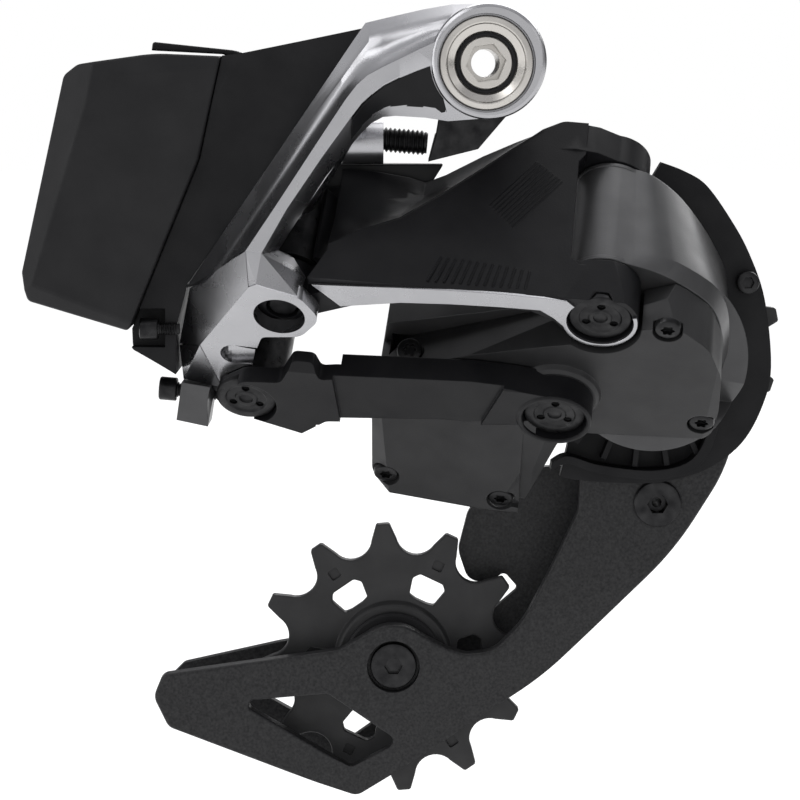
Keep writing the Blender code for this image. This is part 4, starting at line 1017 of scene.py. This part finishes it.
def make_inner_link():
    shape = [(-43.0, -40.0, 3.0), (-39.5, -46.0, 3.0), (-28.2, -50.0, 2.5), (-22.5, -44.6, 2.0),
             (-2.0, -42.0), (12.0, -41.6), (13.5, -43.4)]
    shape += arc(PIN_D, EAR, -125, 105, 32)
    shape += [(10.6, -30.8), (3.0, -30.4), (-20.8, -32.2), (-23.4, -32.8, 1.0), (-24.6, -29.4, 1.2),
              (-28.2, -29.4, 1.2), (-30.4, -34.6, 1.5), (-37.0, -35.2, 3.0)]
    link = prism("inner_link", rounded(shape, 8), 42.4, 48.2, LINK)
    cut(link,
        box("b_step", (-60.0, -60.0, 40.0), (-20.0, -20.0, 44.7), LINK),
        hull("bar_room", [(*spot, z) for z in (47.3, 50.0) for spot in BAR_ROOM], LINK),
        hull("low_chamfer", [(x, y, z) for x, top, low, foot in CHAMFER_ENDS
                             for y, z in ((top, 47.4), (top, 50.0), (low, 50.0), (low, foot))], LINK),
        rod("hole_b", PIN_HOLE, 40.0, 60.0, AT_B),
        rod("hole_d", PIN_HOLE, 40.0, 60.0, AT_D),
        rod("seat_b", HEAD_SEAT, 45.9, 60.0, AT_B),
        rod("seat_d", HEAD_SEAT, 45.9, 60.0, AT_D))
    shave(link, [(-30.0, -31.2, 48.3), (-25.0, -31.2, 48.3), (-27.0, -28.8, 46.6)], (-27, -38, 46), LINK)
    for corners in ([(-43.4, -40.0, 47.0), (-39.5, -46.5, 47.0), (-38.4, -40.0, 48.3)],
                    [(-39.5, -46.4, 46.8), (-28.2, -50.4, 46.8), (-33.0, -46.6, 48.3)]):
        shave(link, corners, (-30, -40, 45), LINK)
    soften(link, 0.35, 20)
    section = [(5.75, 47.9), (5.75, 48.35), (5.95, 48.55), (6.35, 48.55), (6.6, 48.3), (6.6, 47.9)]
    ring = turned("ring_d", section, AT_D, 96, ring=True)
    settle(gather(link, smooth(ring)), "link_black", "inner_arm", "inner_link")


# ---------------------------------------------------------------- lower knuckle

COVER = [(33.2, -15.2), (38.6, -18.0, 14.0), (43.6, -22.4, 8.0), (46.4, -30.0, 14.0), (46.9, -40.0, 20.0),
         (46.2, -47.6, 2.5),
         (20.7, -49.4), (12.6, -74.8, 2.0), (4.0, -75.5, 6.0), (-10.0, -73.0, 4.0), (-15.2, -67.0, 3.0),
         (-15.2, -52.0), (-13.4, -34.8, 1.5), (16.5, -25.2)]
COVER_SCREWS = [(36.1, -18.6, 42.0, "cover_screw_1"), (44.2, -43.6, 42.0, "cover_screw_2"),
                (-12.4, -66.0, 43.6, "cover_screw_4"), (9.2, -69.8, 44.0, "cover_screw_5")]
BACK_OF_COVER = 19.8


def inboard_trim(level):
    return box("inboard_trim", (-80, level, -140), (120, 80, 60))


def make_housing():
    barrel = arc(PIN_C, 6.3, 225, 72, 44)
    high = flow([(28.2, -13.6), (31.5, -14.9), (35.8, -18.7), (39.7, -24.1), (44.0, -32.0), (47.4, -41.0),
                 (48.6, -52.0)])
    low = flow([(29.0, -13.2), (34.0, -14.3), (39.4, -17.3), (44.4, -21.8), (47.0, -28.5), (47.9, -39.0),
                (47.2, -52.0)])
    rim = flow([(28.6, -13.4), (33.4, -14.9), (38.6, -18.0), (43.4, -22.4), (45.9, -28.8), (46.9, -39.0),
                (46.3, -52.0)])
    housing = loft("housing", [[(x, y, level) for x, y in barrel + edge + [(20.0, -52.0)]]
                               for edge, level in ((high, 9.5), (low, 28.6), (rim, 32.0))], LINK)
    bay = [(-13.4, -35.2), (16.5, -25.6), (19.0, -40.0), (19.0, -75.0), (-15.5, -75.0), (-15.2, -52.0)]
    pivot = rod("pivot", 17.0, -16.9, -4.0, AT_CAGE, 96)
    fuse(housing, prism("bay", bay, 24.5, 32.0, LINK), pivot)
    cut(housing,
        box("cover_room", (19.0, -48.9, 32.0), (70.0, 0.0, 70.0), LINK),
        box("cover_room_left", (-40.0, -90.0, 32.0), (20.9, 0.0, 70.0), LINK),
        inboard_trim(16.9),
        rod("bore_c", PIN_HOLE, 0.0, 60.0, AT_C),
        box("motor_room", (-12.4, -50.3, 28.8), (26.6, -38.0, 33.0), LINK),
        rod("gear_room", 7.2, 30.8, 34.0, AT_D),
        rod("spring_room", 9.6, -30.0, -7.5, AT_CAGE))
    soften(housing, 0.5, 24)
    collars = [tube("collar", 6.1, 6.42, level, level + 0.7, AT_C, 96) for level in (9.6, 31.2)]
    settle(gather(housing, *[smooth(collar) for collar in collars]), "satin_grey", "lower_knuckle",
           "p_knuckle_housing")


def make_cover():
    outline = rounded(COVER, 8) + arc(PIN_C, 7.2, 230, 375, 40)
    cover = prism("cover", outline, 32.3, 42.0, LINK)
    toe_side = [(-50.0, 40.0), (-50.0, 42.0), (-72.6, 44.3), (-75.0, 43.2), (-75.5, 40.5), (-66.0, 38.0)]
    toe = hull("toe", [(x, *spot) for x in (-14.4, 12.6) for spot in toe_side], LINK)
    ring = turned("ring_d", [
        (0, 43.4), (7.0, 43.4), (7.6, 42.9), (7.9, 42.0), (7.9, 38.0), (0, 38.0)], AT_D, 96)
    fuse(cover, toe, ring)
    inside = (20, -40, 38)
    # The upper-outboard wall leans back above a line, which gives the leaf-shaped panel its lower ridge.
    shave(cover, [(-13.9, -37.0, 42.2), (17.5, -22.8, 42.2), (16.5, -25.2, 36.0)], inside, LINK)
    cut(cover,
        turned("leaf", [(0, 60.0), (7.0, 60.0), (15.0, 0.0), (15.0, -60.0), (0, -60.0)],
               spun(spun(moved(LINK, -1.0, -13.6, 41.5), -72, "Z"), 90, "X"), 96),
        inboard_trim(BACK_OF_COVER),
        box("motor_room_low", (-12.4, -53.4, 30.0), (26.6, -38.0, 40.0), LINK),
        rod("gear_room_low", 7.2, 30.0, 36.0, AT_D),
        rod("cover_bore_d", PIN_HOLE, 20.0, 60.0, AT_D),
        rod("spring_room_low", 17.3, -30.0, -3.6, AT_CAGE))
    shave(cover, [(-15.4, -50.0, 40.6), (-15.0, -68.0, 41.8), (-12.4, -55.0, 42.8)], inside, LINK)
    shave(cover, [(46.9, -46.0, 41.2), (48.6, -30.0, 40.8), (45.0, -34.0, 42.1)], inside, LINK)
    slant = hull("slant", [(20.4, -50.6, 42.2), (13.8, -71.4, 45.6), (17.0, -51.0, 45.6), (8.8, -70.4, 45.6),
                           (17.0, -51.0, 42.02), (8.8, -70.4, 44.2), (22.6, -50.0, 39.2), (15.8, -72.6, 41.4),
                           (26.0, -50.0, 45.0), (24.0, -74.0, 45.0)], LINK)
    cut(cover, slant)
    for index, (x, y, level, node) in enumerate(COVER_SCREWS):
        seat = moved(LINK, x, y, level)
        cut(cover, rod("seat", 2.6, -1.9, 6.0, seat, 48))
        make_cover_screw("cover_screw_look_%d" % index, seat, node)
    wall = spun(moved(LINK, -8.6, -35.2, 38.0), -72, "X")
    cut(cover, rod("wall_seat", 2.6, -0.6, 8.0, wall, 48))
    make_cover_screw("cover_screw_look_wall", moved(wall, 0, 0, 1.2), "cover_screw_3")
    soften(cover, 0.35, 16)
    settle(cover, "cover_grey", "lower_knuckle", "gearbox_cover")


def make_cover_screw(name, seat, node):
    screw = turned(name, [
        (0, -0.3), (1.9, -0.3), (2.15, -0.42), (2.3, -0.7), (2.3, -1.5), (1.0, -1.5), (1.0, -4.5),
        (0, -4.5)], seat, 48)
    cut(screw, star(name + "_socket", 1.25, -1.2, 1.0, seat))
    settle(smooth(screw), "black_steel", "lower_knuckle", node)


def make_drive():
    """The motor has an end cap and a keyed rim; the worm is a real thread and the wheel has curved teeth."""
    along_x = spun(moved(LINK, 0, PIN_D[1] - 7.9, 33.4), 90, "Y")
    motor = turned("motor", [
        (0, 9.6), (1.2, 9.6), (1.2, 9.0), (3.9, 9.0), (4.2, 8.7), (4.2, -9.0), (4.0, -9.1), (4.0, -9.7),
        (4.2, -9.8), (4.2, -11.5), (3.9, -11.8), (0, -11.8)], along_x, 64)
    settle(smooth(motor), "machined_steel", "lower_knuckle", "gearbox_motor")
    worm = threaded("worm_look", 1.98, 2.4, 10.2, 25.8, along_x, depth=0.62)
    settle(smooth(worm), "machined_steel", "worm", "motor_worm")
    teeth = 24
    tooth_side = ((0.0, 5.0), (0.2, 4.98), (0.36, 5.15), (0.5, 5.55), (0.65, 5.6), (0.8, 5.55), (0.92, 5.15))
    rim = []
    for tooth in range(teeth):
        for share, radius in tooth_side:
            rim.append(polar(radius, 2 * math.pi * (tooth + share) / teeth))
    holes = [circle(0.7, polar(3.3, k * math.pi / 3), 20) for k in range(6)]
    gear = plate("gear_look", [rim, circle(1.6, steps=40)] + holes, 31.6, 35.0, 0.12, AT_D)
    settle(smooth(gear), "bronze", "gear", "drive_gear")
    steps = 40
    turns = 3
    rings = []
    for i in range(steps * turns + 1):
        angle = 2 * math.pi * i / steps
        level = -8.8 - 7.4 * i / (steps * turns)
        wire = circle(0.75, (7.0, level), 14)
        rings.append([(*polar(reach, angle), height) for reach, height in wire])
    settle(smooth(loft("spring_look", rings, AT_CAGE)), "spring_steel", "lower_knuckle", "cage_spring")
    bush = turned("bushing_look", [
        (4.95, 2.1), (4.95, 14.2), (5.1, 14.4), (5.7, 14.4), (5.9, 14.2), (5.9, 2.1)], SIDE, 64, ring=True)
    settle(smooth(bush), "bronze", "upper_knuckle", "mounting_bushing")


def make_flange():
    rim = flow([
        (33.4, -18.0), (37.6, -19.6), (41.7, -22.2), (46.3, -28.5), (49.8, -34.8), (52.8, -43.3),
        (54.2, -55.7), (52.7, -63.2), (48.9, -70.2), (42.6, -75.0), (35.5, -77.2), (28.4, -77.7),
        (18.9, -77.1), (15.2, -76.4)])
    rim += rounded([(14.6, -62.0, 6.0), (14.0, -48.0, 14.0), (22.0, -30.0, 10.0), (30.5, -19.4, 1.5)], 8)
    flange = prism("flange", rim, -20.2, -17.2, SIDE)
    outer = flow([(13.2, -74.6), (16.4, -73.4), (22.3, -75.2), (32.6, -76.3), (40.4, -74.1), (44.0, -66.8),
                  (44.9, -57.8)])
    inner = flow([(13.4, -73.2), (16.4, -71.9), (22.3, -73.6), (32.2, -74.6), (39.2, -72.6), (42.5, -66.2),
                  (43.5, -57.8)])
    rings = [[(*a, -17.8), (*a, -13.0), (*b, -13.0), (*b, -17.8)] for a, b in zip(outer, inner)]
    band = loft("flange_band", rings, SIDE)
    fuse(flange, band)
    cut(flange, rod("bore", 6.0, -30.0, 0.0, AT_CAGE, 96),
        rod("screw_hole", 1.5, -30.0, 0.0, moved(SIDE, *FLANGE_SCREW), 32))
    ribs = []
    for k in range(7):
        ribs.append(box("rib", (17.3, -0.5, -17.4), (21.6, 0.5, -14.2), spun(AT_CAGE, 200 + 16 * k, "Z")))
    settle(gather(soften(flange, 0.4, 30), *ribs), "black_plastic", "lower_knuckle", "pivot_flange")


# ---------------------------------------------------------------- cage

AT_SPACER = moved(SIDE, 33.8, -82.1)


def spot(local):
    """A frame's own x and y within SIDE."""
    place = SIDE.inverted() @ local.translation
    return place.x, place.y


def make_cage_bolt(node, local, face, end, way, rim, socket):
    """A socket bolt along local z, its head outboard for way 1 and inboard for -1. rim is the head's side, as
    (radius, distance below the face)."""
    profile = [(0, face), (3.8, face)] + [(radius, face - way * down) for radius, down in rim]
    profile += [(2.55, profile[-1][1]), (2.55, end + 0.3 * way), (2.3, end), (0, end)]
    made = turned(node + "_look", profile, local, 64)
    low, high = sorted((face - socket * way, face + 2.0 * way))
    cut(made, hexagon("socket", 1.5, low, high, local))
    settle(smooth(made), "black_steel", "cage", node)


def cage_holes(low, high):
    return [rod("hole", 2.85, low, high, AT_TENSION, 48),
            rod("spacer_hole", 2.1, low, high, AT_SPACER, 32),
            rod("pivot_hole", 2.85, low, high, AT_CAGE, 48)]


def make_outer_plate():
    outer = [(51.6, -50.0, 12.0), (50.8, -62.0, 30.0), (45.9, -77.0, 30.0), (37.2, -91.2, 60.0),
             (12.6, -115.5, 60.0), (-14.7, -134.1, 60.0),
             (-22.9, -139.2, 2.5), (-35.1, -134.6, 20.0), (-58.8, -125.4, 2.5), (-61.6, -119.5, 3.0),
             (-59.8, -115.2, 2.0), (-26.3, -110.4, 6.0)]
    outer += arc(spot(AT_TENSION), 8.1, 128, 50, 24)
    outer += [
        (-5.9, -110.0), (-2.1, -111.2, 4.0), (3.0, -110.6, 6.0), (8.6, -105.0, 20.0), (14.3, -93.8, 30.0),
        (19.0, -83.6, 5.0)]
    body = rounded(outer + arc(spot(AT_CAGE), 17.8, 230, 50, 48), 8)
    window = rounded([
        (-45.5, -120.4, 1.0), (-28.4, -118.9, 1.5), (-14.6, -128.4, 1.5), (-24.0, -133.4, 1.5)], 6)
    sheet = plate("outer_plate", [body, window], -24.2, -20.9, 0.6, SIDE, 4)
    shave(sheet, [(-35.1, 20.9, -134.7), (31.7, 20.9, -97.0), (35.1, 22.0, -103.4)], (0, 22, -80), WORLD, 120)
    cut(sheet,
        rod("seat", 5.0, -22.9, 0.0, AT_TENSION, 64),
        *cage_holes(-30.0, 0.0))
    settle(smooth(sheet, 24), "carbon_plate", "cage", "outer_cage_plate")


def make_inner_plate():
    inner = [(40.5, -86.0, 30.0), (30.0, -99.0, 60.0), (11.0, -116.5, 60.0), (-14.7, -133.0, 60.0),
             (-22.9, -137.6, 2.5), (-35.1, -133.6, 20.0), (-57.6, -124.4, 2.5), (-59.4, -118.6, 2.0),
             (-56.8, -116.0, 2.0), (-38.1, -111.8, 20.0), (-25.8, -109.6, 4.0)]
    inner += arc(spot(AT_TENSION), 9.0, 126, 60, 20)
    inner += [
        (-6.0, -108.0), (1.0, -107.5, 6.0), (8.4, -101.1, 1.0), (5.6, -97.9, 1.0), (3.6, -99.4, 2.0),
        (-1.2, -100.2, 3.0), (-3.4, -93.6, 4.0), (-1.6, -86.4, 4.0), (2.8, -79.4, 4.0), (9.0, -77.6, 6.0),
        (19.4, -76.8)]
    inner_body = rounded(inner + arc(spot(AT_CAGE), 13.0, 215, -60, 48), 8)
    inner_window = rounded([
        (-46.5, -119.4, 1.0), (-30.0, -117.8, 1.5), (-18.0, -126.6, 1.5), (-25.0, -131.6, 1.5)], 6)
    back = prism("inner_plate", inner_body, -36.4, -34.4, SIDE)
    cut(back,
        prism("window", inner_window, -40.0, -30.0, SIDE),
        *cage_holes(-40.0, -30.0))
    settle(soften(back, 0.35, 30), "carbon_plate", "cage", "inner_cage_plate")


def make_cage_hardware():
    axle = turned("axle_look", [
        (0, -7.9), (2.0, -7.9), (2.2, -8.3), (3.9, -8.3), (4.2, -8.6), (4.2, -20.3), (3.9, -20.6),
        (0, -20.6)], AT_CAGE, 64)
    settle(smooth(axle), "machined_steel", "cage", "cage_axle")
    spacer = turned("spacer_look", [
        (2.0, -24.5), (2.7, -24.5), (2.9, -24.7), (2.9, -26.0), (2.6, -26.4), (2.6, -32.2), (2.9, -32.6),
        (2.9, -33.9), (2.7, -34.1), (2.0, -34.1)], AT_SPACER, 48, ring=True)
    settle(smooth(spacer), "machined_steel", "cage", "cage_spacer")
    bolt = turned("spacer_bolt", [
        (0.9, -19.95), (3.7, -19.95), (4.2, -20.05), (4.45, -20.3), (4.5, -20.6), (1.75, -20.6),
        (1.75, -37.4), (0.9, -37.4)], AT_SPACER, 64, ring=True)
    cut(bolt, hexagon("socket", 1.7, -22.0, -18.0, AT_SPACER))
    settle(smooth(bolt), "black_steel", "cage", "cage_spacer_bolt")
    make_cage_bolt("tension_bolt", AT_TENSION, -21.4, -37.4, 1, [(4.25, 0.15), (4.4, 0.45), (4.4, 1.3)], 1.0)
    make_cage_bolt("guide_bolt", AT_CAGE, -38.4, -21.2, -1, [(4.2, 0.1), (4.4, 0.4), (4.4, 1.7)], 1.1)


# ---------------------------------------------------------------- pulleys

TEETH = 12
PITCH_RADIUS = 12.7 / (2 * math.sin(math.pi / TEETH))
ROLLER_SEAT = 3.98
PULLEY_PLANE = -29.3


def tooth_ring(phase):
    """A roller seat between two straight-flanked teeth, repeated round the pitch circle."""
    outline = []
    for tooth in range(TEETH):
        middle = math.radians(phase) + 2 * math.pi * (tooth + 0.5) / TEETH
        facing = math.degrees(middle) + 180
        outline += arc(polar(PITCH_RADIUS, middle), ROLLER_SEAT, facing - 66, facing + 66, 12)
        tip = middle + math.pi / TEETH
        for radius, lean in ((26.05, -0.052), (26.3, -0.04), (26.3, 0.04), (26.05, 0.052)):
            outline.append(polar(radius, tip + lean))
    return sorted(outline, key=lambda p: math.atan2(p[1], p[0]))


def turned_outline(corners, angle, steps=4):
    turn = Matrix.Rotation(math.radians(angle), 2)
    return [tuple(turn @ Vector(p)) for p in rounded(corners, steps)]


def mirrored(profile):
    """A ring's profile, given above its middle plane, with its mirror image below."""
    return profile + [(radius, -z) for radius, z in reversed(profile)]


def make_pulley(prefix, body, axis, phase):
    local = moved(axis, 0, 0, PULLEY_PLANE)
    half = 1.1
    loops = [tooth_ring(phase), circle(8.3, steps=96)]
    pockets = []
    for k in range(6):
        turn = phase + 60 * k
        loops.append(turned_outline([
            (12.3, -1.2, 0.5), (12.6, -2.6, 0.6), (15.8, -3.4, 0.8), (17.0, -2.4, 0.8), (17.0, 2.4, 0.8),
            (15.8, 3.4, 0.8), (12.6, 2.6, 0.6), (12.3, 1.2, 0.5)], turn))
        square = turned_outline([
            (19.0, -1.0, 0.3), (20.9, -1.0, 0.3), (20.9, 1.0, 0.3), (19.0, 1.0, 0.3)], turn)
        pockets += [prism("pocket", square, *levels, local) for levels in ((0.55, 3), (-3, -0.55))]
    wheel = cut(plate(prefix + "_wheel", loops, -half, half, 0.3, local), *pockets)
    hub = mirrored([(8.3, 2.5), (10.4, 2.5), (10.8, 2.3), (11.4, 1.0)])
    hub = turned(prefix + "_hub", hub, local, 96, ring=True)
    settle(smooth(gather(wheel, hub), 24), "pulley_grey", body, prefix + "_pulley")
    races = [tube(prefix + "_race", 3.0, 4.5, -2.4, 2.4, local, 64),
             tube(prefix + "_race", 6.6, 8.0, -2.4, 2.4, local, 96),
             turned(prefix + "_shield", mirrored([(4.4, 2.0), (6.7, 2.1)]), local, 64, ring=True)]
    settle(smooth(gather(*races)), "machined_steel", body, prefix + "_bearing")
    for node, face, reach in (("_outer_cap", 2.8, 1.95), ("_inner_cap", -2.8, -1.95)):
        steps = [
            (3.0, 0), (9.0, 0), (9.35, 0.15), (9.35, 0.45), (8.9, 0.6), (7.7, 0.62), (7.5, 0.8),
            (6.0, 0.82), (5.8, 1), (3.0, 1)]
        cap = turned(prefix + node + "_look", [(radius, face + reach * share) for radius, share in steps],
                     local, 96, ring=True)
        settle(smooth(cap), "black_plastic", "cage", prefix + node)


# ---------------------------------------------------------------- main

def main():
    make_camera()
    make_studio()
    dress_cad_nodes()
    make_hanger_side()
    make_upper_knuckle()
    make_facets()
    make_shade_darkened_barrels()
    make_knuckle_details()
    make_battery()
    make_mount()
    make_electronics()
    make_adjusting_screws()
    make_pins()
    make_outer_link()
    make_inner_link()
    make_housing()
    make_cover()
    make_drive()
    make_flange()
    make_outer_plate()
    make_inner_plate()
    make_cage_hardware()
    make_pulley("guide", "guide_wheel", AT_CAGE, 12.0)
    make_pulley("tension", "tension_wheel", AT_TENSION, 4.5)


main()
